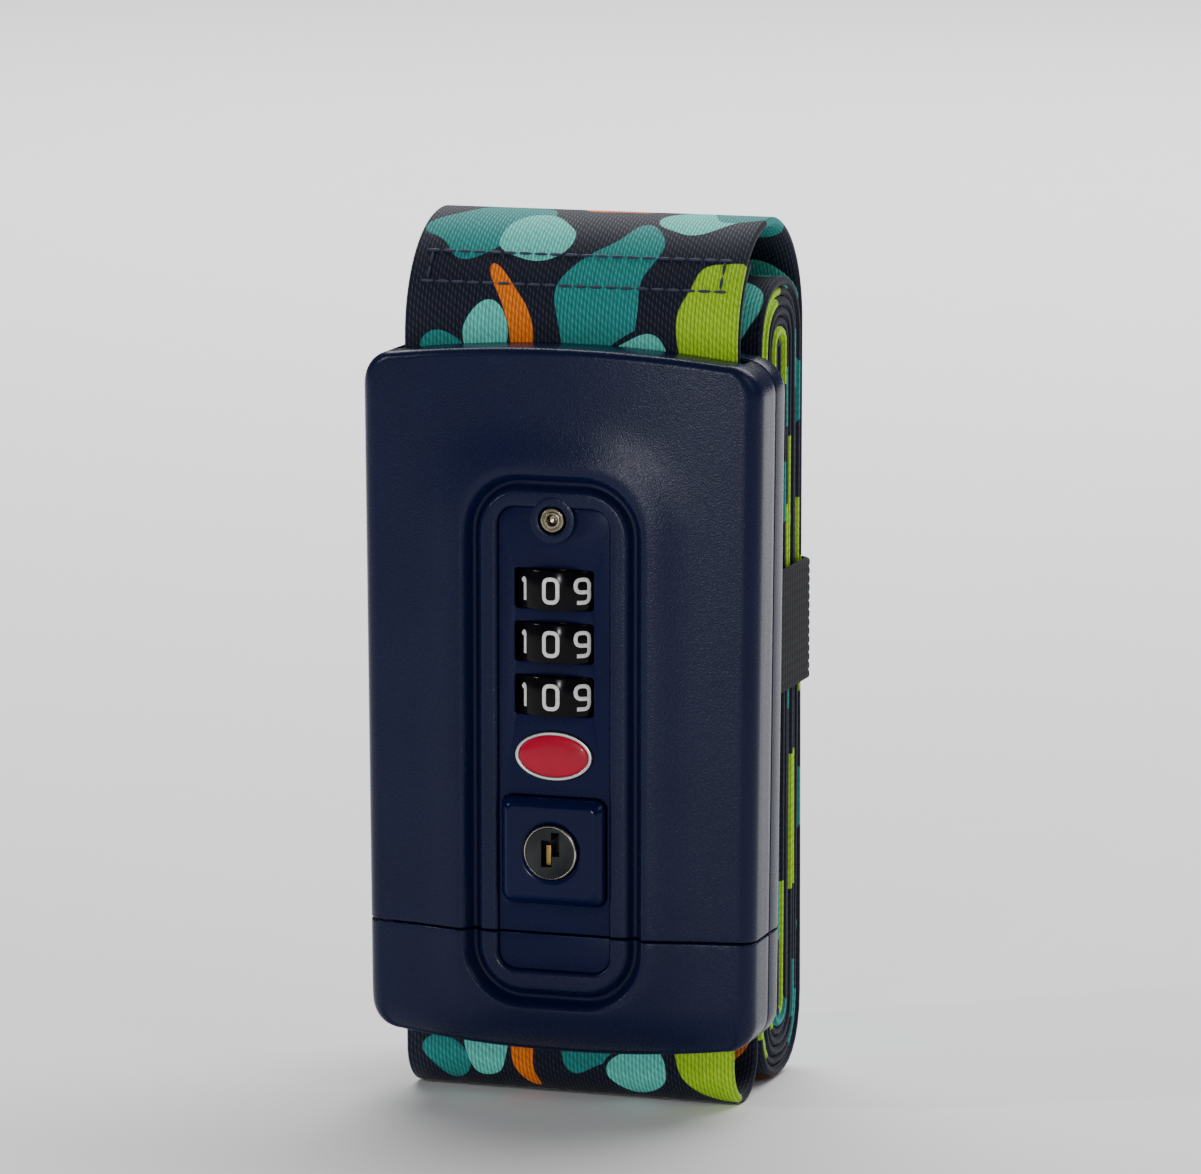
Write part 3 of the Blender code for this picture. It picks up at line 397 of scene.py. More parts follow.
def elastic_cloth():
    """Black woven elastic with fine crossing picks."""
    n = Nodes("black_elastic")
    point = n.add("ShaderNodeSeparateXYZ", Vector=n.object_point())
    round_band = n.math("ADD", point.outputs["X"], point.outputs["Y"])
    picks = n.math("ABSOLUTE", n.math("SINE", n.math("MULTIPLY", round_band, ELASTIC_PICKS)))
    fuzz = n.noise(1800.0, 3.0)
    height = n.math("ADD", picks, n.math("MULTIPLY", fuzz, 0.6))
    n.bump(height, 0.5, 0.00012)
    n.shader.inputs["Specular IOR Level"].default_value = 0.25
    # colour lighter on the raised picks and darker between them: painted light and shade of the weave, with a
    # random fuzz tone
    colour = n.mix(n.between(height, 0.2, 1.4, 0.0, 1.0), (0.006, 0.006, 0.008), (0.022, 0.022, 0.027))
    return n.set(Base_Color=colour, Roughness=0.85)


def thread():
    """Twisted navy sewing thread."""
    n = Nodes("sewing_thread")
    twist = n.noise(5200.0, 2.0)
    n.bump(twist, 0.5, 0.00006)
    return n.set(Base_Color=n.mix(twist, (0.010, 0.014, 0.040), (0.030, 0.038, 0.085)), Roughness=0.6)


def pale_floor():
    """Matt off-white floor."""
    n = Nodes("pale_floor")
    grain = n.noise(40.0, 2.0)
    return n.set(Base_Color=n.mix(grain, (0.86, 0.86, 0.87), (0.88, 0.88, 0.88)), Roughness=0.75)


def make_materials():
    """Every finish of the strap and its stage, by a short name."""
    return {
        "navy": case_plastic(),
        "blue": moulded_plastic("deep_blue_plastic", (0.0016, 0.0040, 0.0330), (0.0024, 0.0052, 0.0390),
                                0.28, 0.16, 0.04, 0.12),
        "button": moulded_plastic("button_plastic", (0.0018, 0.0044, 0.0340), (0.0028, 0.0056, 0.0400),
                                  0.17, 0.16, 0.05, 0.15),
        "dial": dial_plastic(),
        "digit": digit_paint(),
        "nickel": plated_metal("nickel", (0.42, 0.38, 0.31), (0.60, 0.56, 0.48), 0.24),
        "pin": plated_metal("warm_nickel", (0.20, 0.17, 0.12), (0.34, 0.30, 0.22), 0.26),
        # the key plug's nickel, rougher and darkened as painted shade of its face; its rim keeps the plain
        # bright nickel
        "plug": plated_metal("dull_shaded_nickel", (0.018, 0.020, 0.022), (0.036, 0.038, 0.040), 0.33,
                             (60.0, 60.0, 1200.0)),
        "steel": plated_metal("brushed_steel", (0.42, 0.42, 0.43), (0.58, 0.58, 0.59), 0.34,
                              (40.0, 40.0, 900.0)),
        "zinc": plated_metal("zinc_plate", (0.36, 0.37, 0.40), (0.52, 0.53, 0.54), 0.42),
        "brass": plated_metal("brass", (0.22, 0.14, 0.05), (0.34, 0.22, 0.09), 0.40),
        "silver": plated_metal("silver_rim", (0.50, 0.50, 0.50), (0.62, 0.62, 0.62), 0.36,
                               (60.0, 60.0, 60.0), 0.0),
        "enamel": red_enamel(),
        "webbing": printed_webbing(),
        "elastic": elastic_cloth(),
        "thread": thread(),
        "floor": pale_floor(),
    }


# ---------------------------------------------------------------- outlines

def arc(centre, radius, start_deg, end_deg, steps):
    """Points on a circular or elliptical arc; radius is a number or a pair."""
    across, along = radius if isinstance(radius, tuple) else (radius, radius)
    points = []
    for step in range(steps + 1):
        angle = math.radians(start_deg + (end_deg - start_deg) * step / steps)
        points.append((centre[0] + across * math.cos(angle), centre[1] + along * math.sin(angle)))
    return points


def straight(start, end, steps):
    """Points strictly between two ends."""
    return [(start[0] + (end[0] - start[0]) * k / steps, start[1] + (end[1] - start[1]) * k / steps)
            for k in range(1, steps)]


def sagitta(radius, offset):
    """Fall of a circle away from its top, at an offset from it."""
    return radius - math.sqrt(radius ** 2 - offset ** 2)


def rounded_loop(half, low, high, low_corner, high_corner, counts, arch=0.0, taper=0.0):
    """Anticlockwise outline (x, z) with round corners; counts is (corner, side, end) steps.

    arch bows both ends outwards by ARCH_RADIUS, and taper draws the sides in at the bottom.
    Outlines made with the same counts match point for point.
    """
    corner_steps, side_steps, end_steps = counts
    foot = half - taper

    def bow(x, flank):
        return arch * sagitta(ARCH_RADIUS, min(abs(x), flank))

    low_flank, high_flank = foot - low_corner, half - high_corner
    low_level = low + bow(low_flank, low_flank) + low_corner
    high_level = high - bow(high_flank, high_flank) - high_corner
    right_low = arc((low_flank, low_level), low_corner, -90, 0, corner_steps)
    right_high = arc((high_flank, high_level), high_corner, 0, 90, corner_steps)
    left_high = [(-x, z) for x, z in reversed(right_high)]
    left_low = [(-x, z) for x, z in reversed(right_low)]
    top = [(x, high - bow(x, high_flank)) for x, _ in straight(right_high[-1], left_high[0], end_steps)]
    bottom = [(x, low + bow(x, low_flank)) for x, _ in straight(left_low[-1], right_low[0], end_steps)]
    return (right_low + straight(right_low[-1], right_high[0], side_steps) + right_high + top
            + left_high + straight(left_high[-1], left_low[0], side_steps) + left_low + bottom)


CASE_COUNTS = (10, 48, 22)      # steps of each corner, side and end, the same for every outline of the case


def case_outline(inset):
    """Front view of the whole closed buckle, tongue and housing together."""
    low_corner, high_corner = (corner - min(inset, corner - 1) for corner in (BOTTOM_CORNER, TOP_CORNER))
    return rounded_loop(HALF_WIDTH - inset, BUCKLE_BOTTOM + inset, HOUSING_TOP - inset,
                        low_corner, high_corner, CASE_COUNTS, arch=1.0, taper=TONGUE_TAPER)


def relief_outline(half, tall, corner, grow):
    """Ring or groove outline, grown outwards."""
    return rounded_loop(half + grow, FACE_CENTRE_Z - tall / 2 - grow, FACE_CENTRE_Z + tall / 2 + grow,
                        corner + grow, corner + grow, CASE_COUNTS)


def opening_outline(grow):
    """Opening of the case for the inlay, grown outwards."""
    return rounded_loop(OPENING_HALF + grow, OPENING_LOW - grow, OPENING_HIGH + grow,
                        OPENING_CORNER + grow, OPENING_CORNER + grow, CASE_COUNTS)


def blend_outline(first, second, share):
    """Outline part of the way from one to another that matches it point for point."""
    return [(a[0] + (b[0] - a[0]) * share, a[1] + (b[1] - a[1]) * share) for a, b in zip(first, second)]


def outward(outline):
    """Unit outward normals of an anticlockwise outline."""
    normals = []
    count = len(outline)
    for k in range(count):
        before, after = outline[k - 1], outline[(k + 1) % count]
        along = Vector((after[0] - before[0], after[1] - before[1])).normalized()
        normals.append((along.y, -along.x))
    return normals


# ---------------------------------------------------------------- meshes

def new_mesh_object(name, verts, faces, material, sharp_deg=38):
    """Linked and tidied mesh object."""
    mesh = bpy.data.meshes.new(name)
    mesh.from_pydata(verts, [], faces)
    made = bpy.data.objects.new(name, mesh)
    bpy.context.collection.objects.link(made)
    tidy(made, material, sharp_deg)
    return made


def tidy(obj, material, sharp_deg=38):
    """Merge doubles, face outwards, shade smooth and give the material."""
    shell = bmesh.new()
    shell.from_mesh(obj.data)
    bmesh.ops.remove_doubles(shell, verts=shell.verts, dist=1e-7)
    bmesh.ops.recalc_face_normals(shell, faces=shell.faces)
    shell.to_mesh(obj.data)
    shell.free()
    obj.data.materials.clear()
    obj.data.materials.append(material)
    obj.data.shade_smooth()
    obj.data.set_sharp_from_angle(angle=math.radians(sharp_deg))


def skin(name, loops, material, closed=False, sharp_deg=38):
    """Surface through loops of world points that match point for point.

    closed joins the last loop to the first; otherwise both end loops get a cap.
    """
    count = len(loops[0])
    verts = [point for loop in loops for point in loop]
    faces = []
    rows = len(loops) if closed else len(loops) - 1
    for row in range(rows):
        here, there = row * count, ((row + 1) % len(loops)) * count
        for k in range(count):
            nxt = (k + 1) % count
            faces.append((here + k, here + nxt, there + nxt, there + k))
    if not closed:
        faces.append(tuple(range(count)))
        faces.append(tuple(range((len(loops) - 1) * count, len(loops) * count)))
    return new_mesh_object(name, verts, faces, material, sharp_deg)


def lathe(name, profile, centre, axis, material, steps=64, closed=True, sharp_deg=38):
    """Turned piece: profile of (radius, along) pairs about y (centre x, z) or z (centre x, depth)."""
    loops = []
    for radius, along in profile:
        loop = []
        for k in range(steps):
            angle = 2 * math.pi * k / steps
            across, up = radius * math.cos(angle), radius * math.sin(angle)
            if axis == "y":
                loop.append(world(centre[0] + across, along, centre[1] + up))
            else:
                loop.append(world(centre[0] + across, centre[1] + up, along))
        loops.append(loop)
    return skin(name, loops, material, closed, sharp_deg)


def plate(name, outlines, front, back, bevel, material):
    """Flat plate facing -Y with rounded edges: the first outline (x, z) is its edge, the others holes."""
    curve = bpy.data.curves.new(name, "CURVE")
    curve.dimensions = "2D"
    curve.fill_mode = "BOTH"
    curve.extrude = (back - front) / 2 - bevel
    curve.bevel_depth = bevel
    curve.bevel_resolution = 2
    curve.offset = -bevel
    for outline in outlines:
        spline = curve.splines.new("POLY")
        spline.points.add(len(outline) - 1)
        for point, (x, z) in zip(spline.points, outline):
            point.co = (x, z, 0.0, 1.0)
        spline.use_cyclic_u = True
    drawn = bpy.data.objects.new(name + "_drawing", curve)
    bpy.context.collection.objects.link(drawn)
    depsgraph = bpy.context.evaluated_depsgraph_get()
    mesh = bpy.data.meshes.new_from_object(drawn.evaluated_get(depsgraph))
    bpy.data.objects.remove(drawn)
    middle = (front + back) / 2
    for vertex in mesh.vertices:
        x, z, out = vertex.co
        vertex.co = world(x, middle - out, z)
    mesh.name = name
    made = bpy.data.objects.new(name, mesh)
    bpy.context.collection.objects.link(made)
    tidy(made, material)
    return made


def block(name, x, depth, z, material):
    """Box from three (low, high) pairs."""
    corners = [(x[0], z[0]), (x[1], z[0]), (x[1], z[1]), (x[0], z[1])]
    return skin(name, [[world(a, depth[0], b) for a, b in corners],
                       [world(a, depth[1], b) for a, b in corners]], material)


def bake(obj):
    """Replace an object's mesh by what its modifiers make of it."""
    depsgraph = bpy.context.evaluated_depsgraph_get()
    baked = bpy.data.meshes.new_from_object(obj.evaluated_get(depsgraph))
    obj.modifiers.clear()
    obj.data = baked


def cut(target, *tools):
    """Take each tool's shape out of the target, then remove the tools."""
    for tool in tools:
        step = target.modifiers.new("cut", "BOOLEAN")
        step.operation = "DIFFERENCE"
        step.solver = "EXACT"
        step.object = tool
        bake(target)
        bpy.data.objects.remove(tool)


def join(name, *pieces):
    """One mesh from several of one material."""
    merged = bmesh.new()
    for piece in pieces:
        merged.from_mesh(piece.data)
    kept = pieces[0]
    merged.to_mesh(kept.data)
    merged.free()
    for piece in pieces[1:]:
        bpy.data.objects.remove(piece)
    kept.name = name
    return kept


def finish_piece(obj, body, slot, *nodes):
    """Ride on a body and stand for CAD nodes; the slot argument is not used."""
    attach(obj, body)
    if nodes:
        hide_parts(*nodes)


# ---------------------------------------------------------------- the case

def groove_distance(x, z):
    """Distance outside the groove's outer outline, negative inside it."""
    across = abs(x) - (GROOVE_HALF - GROOVE_CORNER)
    up = abs(z - FACE_CENTRE_Z) - (GROOVE_TALL / 2 - GROOVE_CORNER)
    outside = math.hypot(max(across, 0.0), max(up, 0.0))
    return outside + min(max(across, up), 0.0) - GROOVE_CORNER


def crown(x):
    """Depth of the crowned face away from its ridge."""
    return sagitta(CROWN_RADIUS, x)


def ease(share):
    """Smooth step from 0 to 1."""
    share = min(max(share, 0.0), 1.0)
    return share * share * (3.0 - 2.0 * share)


def roll(z):
    """Extra depth where the tongue's face rolls round to its lower end."""
    reach = min(max((BUCKLE_BOTTOM + ROLL_HEIGHT - z) / ROLL_HEIGHT, 0.0), 1.0)
    return ROLL_DEPTH * (1.0 - math.sqrt(1.0 - reach ** 2))


def face_depth(x, z):
    """Depth of the outer face: crown, lower roll and the soft swell around the groove."""
    away = max(groove_distance(x, z) - LIP_OUT, 0.0)
    return crown(x) + roll(z) + FACE_BACK - SWELL_RISE * math.exp(-(away / SWELL_REACH) ** 2)


def edge_round(normal):
    """Radius of the case's front edge, by the way that the edge faces."""
    side = abs(normal[0]) ** 1.5
    end = TOP_ROUND if normal[1] > 0 else BOTTOM_ROUND
    return SIDE_ROUND * side + end * (1.0 - side)


def place_loop(outline, depth_of):
    """Outline (x, z) as world points, with a depth worked out for each of them."""
    return [world(x, depth_of(x, z), z) for x, z in outline]


def level_loop(outline, depth):
    """Outline (x, z) as world points at one depth."""
    return [world(x, depth, z) for x, z in outline]


def front_shell(materials):
    """Whole front shell of the closed buckle, before it is parted at the seam."""
    loops = []

    def add(outline, depth_of):
        loops.append(place_loop(outline, depth_of))

    def ring_depth(extra):
        return lambda x, z: crown(x) + RING_DROP + extra

    def channel_depth(share):
        """Soft valley between the ring and the lip; share runs 0 at the ring to 1 on the lip.

        The valley's floor lies between the shares where it has gone down and starts up.
        """
        down, up = ease(share / 0.42), ease((share - 0.50) / 0.50)
        level = RING_DROP + (GROOVE_DROP - RING_DROP) * down
        return lambda x, z: (crown(x) + level) * (1 - up) + face_depth(x, z) * up

    def ring(grow):
        return relief_outline(RING_HALF, RING_TALL, RING_CORNER, grow)

    def groove(grow):
        return relief_outline(GROOVE_HALF, GROOVE_TALL, GROOVE_CORNER, grow)

    add(opening_outline(0.0), ring_depth(WALL))
    for grow, extra in ((0.0, 1.0), (0.0, 0.60), (0.05, 0.34), (0.17, 0.15), (0.36, 0.04), (0.60, 0.0)):
        add(opening_outline(grow), ring_depth(extra))
    for share in (0.35, 0.7):
        add(blend_outline(opening_outline(0.6), ring(-CHANNEL_SPREAD), share), ring_depth(0.0))
    rows = 20
    for row in range(rows + 1):
        add(blend_outline(ring(-CHANNEL_SPREAD), groove(LIP_OUT), row / rows), channel_depth(row / rows))

    outline = case_outline(0.0)
    normals = outward(outline)
    rounds = [edge_round(normal) for normal in normals]

    def inset_outline(amount_of):
        return [(x - normal[0] * amount_of(r), z - normal[1] * amount_of(r))
                for (x, z), normal, r in zip(outline, normals, rounds)]

    shoulder = inset_outline(lambda r: r)
    rows = 22
    for row in range(1, rows + 1):
        share = math.sin(math.pi / 2 * row / rows)
        add(blend_outline(groove(LIP_OUT), shoulder, share), face_depth)
    edge_depth = [face_depth(x, z) for x, z in shoulder]
    steps = 7
    for step in range(1, steps + 1):
        angle = math.pi / 2 * step / steps
        turned = inset_outline(lambda r: r * (1 - math.sin(angle)))
        loops.append([world(x, base + r * (1 - math.cos(angle)), z)
                      for (x, z), base, r in zip(turned, edge_depth, rounds)])
    rim = SPLIT_DEPTH - 0.3
    for share in (0.35, 0.75):
        loops.append([world(x, (base + r) * (1 - share) + rim * share, z)
                      for (x, z), base, r in zip(outline, edge_depth, rounds)])
    for inset, depth in ((0.0, rim - 0.18), (0.05, rim - 0.05), (0.18, rim), (WALL, rim)):
        loops.append(level_loop(case_outline(inset), depth))

    def inner_depth(x, z):
        return crown(x) + roll(z - 1.0) + RING_DROP + WALL

    add(case_outline(WALL), lambda x, z: min(inner_depth(x, z) + 1.2, rim - 0.3))
    add(case_outline(WALL + 1.0), inner_depth)
    for share in (0.3, 0.6):
        add(blend_outline(case_outline(WALL + 1.0), groove(0.5), share), inner_depth)
    add(groove(0.5), lambda x, z: crown(x) + RING_DROP + WALL)
    add(opening_outline(0.4), ring_depth(WALL))
    return skin("front_shell", loops, materials["navy"], closed=True, sharp_deg=50)


def back_shell(materials):
    """Whole rear shell of the closed buckle, before it is parted at the seam."""
    rim, floor = SPLIT_DEPTH, BUCKLE_DEPTH - WALL
    round_back, steps = 2.4, 6

    def shrunk(inset, share):
        """Outline drawn in towards the middle of the face."""
        return [(x * share, FACE_CENTRE_Z + (z - FACE_CENTRE_Z) * share) for x, z in case_outline(inset)]

    rows = [(WALL, rim), (0.18, rim), (0.05, rim + 0.05), (0.0, rim + 0.18)]
    for step in range(steps + 1):
        angle = math.pi / 2 * step / steps
        rows.append((round_back * (1 - math.cos(angle)), BUCKLE_DEPTH - round_back * (1 - math.sin(angle))))
    loops = [level_loop(case_outline(inset), depth) for inset, depth in rows]
    core = shrunk(round_back, 0.04)
    loops += [level_loop(shrunk(round_back, 0.5), BUCKLE_DEPTH), level_loop(core, BUCKLE_DEPTH),
              level_loop(core, floor), level_loop(shrunk(WALL, 0.9), floor),
              level_loop(case_outline(WALL), floor - 0.8)]
    return skin("back_shell", loops, materials["navy"], closed=True, sharp_deg=50)


def round_seam(obj):
    """Add rows of edges beside the seam and ease them into a small round."""
    shell = bmesh.new()
    shell.from_mesh(obj.data)
    offsets = [0.0, 0.03, 0.08, 0.15, SEAM_ROUND]
    for side in (-1, 1):
        for offset in offsets:
            z = (SEAM_Z + side * (SEAM_GAP / 2 + offset)) * MM
            everything = shell.verts[:] + shell.edges[:] + shell.faces[:]
            bmesh.ops.bisect_plane(shell, geom=everything, plane_co=(0, 0, z), plane_no=(0, 0, 1), dist=1e-7)
    shell.normal_update()
    moves = []
    for vertex in shell.verts:
        gap = abs(vertex.co.z / MM - SEAM_Z) - SEAM_GAP / 2
        if -0.001 < gap < SEAM_ROUND:
            left = SEAM_ROUND - max(gap, 0.0)
            drop = SEAM_ROUND - math.sqrt(SEAM_ROUND ** 2 - left ** 2)
            flat = Vector((vertex.normal.x, vertex.normal.y, 0.0)).normalized()
            moves.append((vertex, flat * (drop * SEAM_PULL * MM)))
    for vertex, move in moves:
        vertex.co -= move
    shell.to_mesh(obj.data)
    shell.free()


def part_at_seam(obj, name, upper):
    """Copy of one side of the seam, with its cut closed."""
    half = obj.copy()
    half.data = obj.data.copy()
    half.name = name
    bpy.context.collection.objects.link(half)
    shell = bmesh.new()
    shell.from_mesh(half.data)
    side = 1 if upper else -1
    level = (SEAM_Z + side * SEAM_GAP / 2) * MM
    bmesh.ops.bisect_plane(shell, geom=shell.verts[:] + shell.edges[:] + shell.faces[:],
                           plane_co=(0, 0, level), plane_no=(0, 0, side), clear_inner=True, dist=1e-7)
    rim = [edge for edge in shell.edges if edge.is_boundary]
    bmesh.ops.edgeloop_fill(shell, edges=rim)
    shell.to_mesh(half.data)
    shell.free()
    return half


def cylinder_tool(centre, radius, depths, material, steps=32):
    """Round cutter along the depth, between two depths."""
    outline = [(centre[0] + radius * math.cos(2 * math.pi * k / steps),
                centre[1] + radius * math.sin(2 * math.pi * k / steps)) for k in range(steps)]
    return skin("tool", [level_loop(outline, depth) for depth in depths], material)


def make_case(materials):
    """Both shells, parted at the seam, with slots for the webbing and sinks for the screws."""
    front, back = front_shell(materials), back_shell(materials)
    round_seam(front)
    round_seam(back)
    pieces = {
        "housing_face": (front, True, "buckle", "housing_front"),
        "tongue_face": (front, False, "base", "tongue_front"),
        "housing_rear_shell": (back, True, "buckle", "housing_back"),
        "tongue_rear_shell": (back, False, "base", "tongue_back"),
    }
    for name, (whole, upper, body, node) in pieces.items():
        half = part_at_seam(whole, name, upper)
        if whole is front:      # the slot runs from past the end into the case's hollow
            z = (HOUSING_TOP - 8, HOUSING_TOP + 2) if upper else (BUCKLE_BOTTOM - 2, BUCKLE_BOTTOM + 6)
            cut(half, block("slot_tool", (-SLOT_HALF, SLOT_HALF), (SLOT_FRONT, SPLIT_DEPTH + 1), z,
                            materials["navy"]))
        screws = [n for n in frame["nodes"] if n.startswith("housing_screw" if upper else "tongue_screw")]
        for screw in screws if whole is back else []:
            low, high = node_box(screw)
            centre = ((low.x + high.x) / 2, (low.z + high.z) / 2)
            for radius, deep in (SCREW_SINK, SCREW_HOLE):
                cut(half, cylinder_tool(centre, radius, (BUCKLE_DEPTH - deep, BUCKLE_DEPTH + 1),
                                        materials["navy"]))
        tidy(half, materials["navy"], 50)
        finish_piece(half, body, "navy_plastic", node)
    for whole in (front, back):
        bpy.data.objects.remove(whole)


# ---------------------------------------------------------------- the lock

def panel_outline():
    """Upper end rounded like the opening, lower end square at the seam."""
    half, bottom, top = OPENING_HALF - INLAY_GAP, SEAM_Z + SEAM_GAP / 2, OPENING_HIGH - INLAY_GAP
    corner = OPENING_CORNER - INLAY_GAP
    return ([(-half, bottom), (half, bottom)] + arc((half - corner, top - corner), corner, 0, 90, 10)
            + arc((-half + corner, top - corner), corner, 90, 180, 10))


def window_outline(centre_z, width, height, corner):
    """Rounded hole about the middle line."""
    return rounded_loop(width / 2, centre_z - height / 2, centre_z + height / 2, corner, corner, (6, 2, 2))


def dial_centre_z(node):
    low, high = node_box(node)
    return (low.z + high.z) / 2


def make_panel(materials):
    """Inlay plate with windows for the dials and holes for the badge, pin and button, and its lower end."""
    face = PANEL_FACE
    windows = [window_outline(dial_centre_z(node), WINDOW_WIDTH, WINDOW_HEIGHT, WINDOW_CORNER)
               for node, _ in DIALS]
    width, height = BUTTON[1].x - BUTTON[0].x, BUTTON[1].z - BUTTON[0].z
    button_hole = window_outline(BUTTON_Z, width + BUTTON_GAP, height + BUTTON_GAP, 1.55)
    panel = plate("lock_inlay", [panel_outline(), *windows, button_hole], face, face + PANEL_THICK,
                  PLATE_BEVEL, materials["blue"])
    reach = ((BADGE[1].x - BADGE[0].x) / 2 + BADGE_GAP, (BADGE[1].z - BADGE[0].z) / 2 + BADGE_GAP)
    oval = arc((0, BADGE_Z), reach, 0, 360, 64)[:-1]
    cut(panel, skin("badge_tool", [level_loop(oval, face - 1), level_loop(oval, face + 0.5)],
                    materials["blue"]))
    cut(panel, cylinder_tool((0, PIN_Z), LOBE_RADIUS + 0.02, (face - 1, face + 3), materials["blue"], 64))
    tidy(panel, materials["blue"], 40)
    finish_piece(panel, "buckle", "deep_blue_plastic", "lock_panel")

    low, high = OPENING_LOW + INLAY_GAP, SEAM_Z - SEAM_GAP / 2
    half, corner = OPENING_HALF - INLAY_GAP, OPENING_CORNER - INLAY_GAP
    foot = ([(half, high), (-half, high)] + arc((-half + corner, low + corner), corner, 180, 270, 10)
            + arc((half - corner, low + corner), corner, 270, 360, 10))
    inlay = plate("tongue_inlay_plate", [foot], face, face + TONGUE_INLAY_THICK, PLATE_BEVEL,
                  materials["blue"])
    finish_piece(inlay, "base", "deep_blue_plastic", "tongue_inlay")


def make_reset_pin(materials):
    """Round lobe of the case with the recessed code-change pin in its middle."""
    top = RING_DROP - 0.12
    bore, lobe_back, pin_back = 2.1, 3.0, 8.4
    lobe = lathe("pin_lobe", [(bore, lobe_back), (bore, top + 0.15), (2.16, top + 0.04), (2.3, top),
                              (LOBE_RADIUS - 0.25, top), (LOBE_RADIUS - 0.08, top + 0.06),
                              (LOBE_RADIUS, top + 0.25), (LOBE_RADIUS, lobe_back)],
                 (0, PIN_Z), "y", materials["navy"])
    finish_piece(lobe, "buckle", "navy_plastic")
    head = ((1.78, 0.28), (1.70, 0.14), (1.58, 0.08), (1.44, 0.10), (1.36, 0.22), (1.28, 0.22), (1.20, 0.06),
            (1.10, 0.0), (0.90, 0.02), (0.80, 0.12), (0.72, 0.45), (0.60, 1.2), (0.1, 1.3))
    profile = [(1.78, pin_back), *((radius, PIN_FACE + sunk) for radius, sunk in head), (0.1, pin_back)]
    pin = lathe("code_pin", profile, (0, PIN_Z), "y", materials["pin"], 48)
    finish_piece(pin, "reset", "nickel", "reset_pin")


def dial_axis_depth():
    low, high = node_box("dial_1")
    return (low.y + high.y) / 2 - RIDGE_Y


def digit_strokes(digit):
    """Centre lines of a digit as (points, closed) pairs; x runs -1..1 and y -1..1."""
    loop = [(-1, -1), (1, -1), (1, 1), (-1, 1)]
    six = [([(0.8, 1), (-1, 1), (-1, -1), (1, -1), (1, 0.1), (-1, 0.1)], False)]
    return {
        0: [(loop, True)],
        1: [([(-0.55, 0.62), (0.1, 1), (0.1, -1)], False)],
        2: [([(-1, 0.55), (-1, 1), (1, 1), (1, 0.15), (-1, -1), (1.05, -1)], False)],
        3: [([(-1, 1), (1, 1), (1, 0.06), (-0.3, 0.06)], False),
            ([(-0.3, 0.06), (1, 0.06), (1, -1), (-1, -1), (-1, -0.6)], False)],
        4: [([(0.4, -1), (0.4, 1), (-1, -0.4), (1.1, -0.4)], False)],
        5: [([(0.95, 1), (-0.9, 1), (-0.9, 0.15), (1, 0.15), (1, -1), (-1, -1)], False)],
        6: six,
        7: [([(-1, 1), (1, 1), (-0.3, -1)], False)],
        8: [([(-0.9, 0.08), (0.9, 0.08), (0.9, 1), (-0.9, 1)], True),
            ([(-1, -1), (1, -1), (1, 0.08), (-1, 0.08)], True)],
        9: [([(-x, -y) for x, y in points], closed) for points, closed in six],
    }[digit]


def round_corners(points, closed, radius):
    """Polyline with its corners rounded."""
    rounded = []
    count = len(points)
    for k, point in enumerate(points):
        if not closed and k in (0, count - 1):
            rounded.append(Vector(point))
            continue
        here, before, after = Vector(point), Vector(points[k - 1]), Vector(points[(k + 1) % count])
        first = here + (before - here).normalized() * min(radius, (before - here).length * 0.48)
        last = here + (after - here).normalized() * min(radius, (after - here).length * 0.48)
        for step in range(7):
            t = step / 6
            rounded.append(first * (1 - t) ** 2 + here * (2 * t * (1 - t)) + last * t ** 2)
    if closed:
        rounded.append(rounded[0])
    return rounded


def even_steps(points, spacing):
    """Points along a polyline no further apart than the spacing."""
    even = [points[0]]
    for start, end in zip(points, points[1:]):
        steps = max(1, math.ceil((end - start).length / spacing))
        even += [start.lerp(end, k / steps) for k in range(1, steps + 1)]
    return [p for k, p in enumerate(even) if k == 0 or (p - even[k - 1]).length > 0.01]


# Section of a digit's stroke: (share of the half width, height above the wheel)
STROKE_SECTION = ((1, -0.03), (1, 0.015), (0.85, 0.035), (-0.85, 0.035), (-1, 0.015), (-1, -0.03))


def painted_digit(digit, angle, centre_z, material):
    """Digit as thin raised strokes wrapped on to the wheel at an angle from the front."""
    reach = Vector(((DIGIT_WIDTH - DIGIT_STROKE) / 2, (DIGIT_HEIGHT - DIGIT_STROKE) / 2))
    axis = dial_axis_depth()
    strokes = []
    for drawn, closed in digit_strokes(digit):
        points = round_corners([(x * reach.x, y * reach.y) for x, y in drawn], closed, DIGIT_CORNER)
        points = even_steps(points, 0.3)
        if closed:
            points.pop()
        count = len(points)
        loops = []
        for k, point in enumerate(points):
            before = points[k - 1] if closed or k else points[0]
            after = points[(k + 1) % count] if closed or k < count - 1 else points[-1]
            along = (after - before).normalized()
            normal = Vector((-along.y, along.x)) * (DIGIT_STROKE / 2)
            loop = []
            for side, out in STROKE_SECTION:
                flat = point + normal * side
                turn = angle + flat.x / DIAL_RADIUS
                radius = DIAL_RADIUS + out
                loop.append(world(radius * math.sin(turn), axis - radius * math.cos(turn), centre_z + flat.y))
            loops.append(loop)
        strokes.append(skin("stroke", loops, material, closed, 60))
    return join("digit", *strokes)


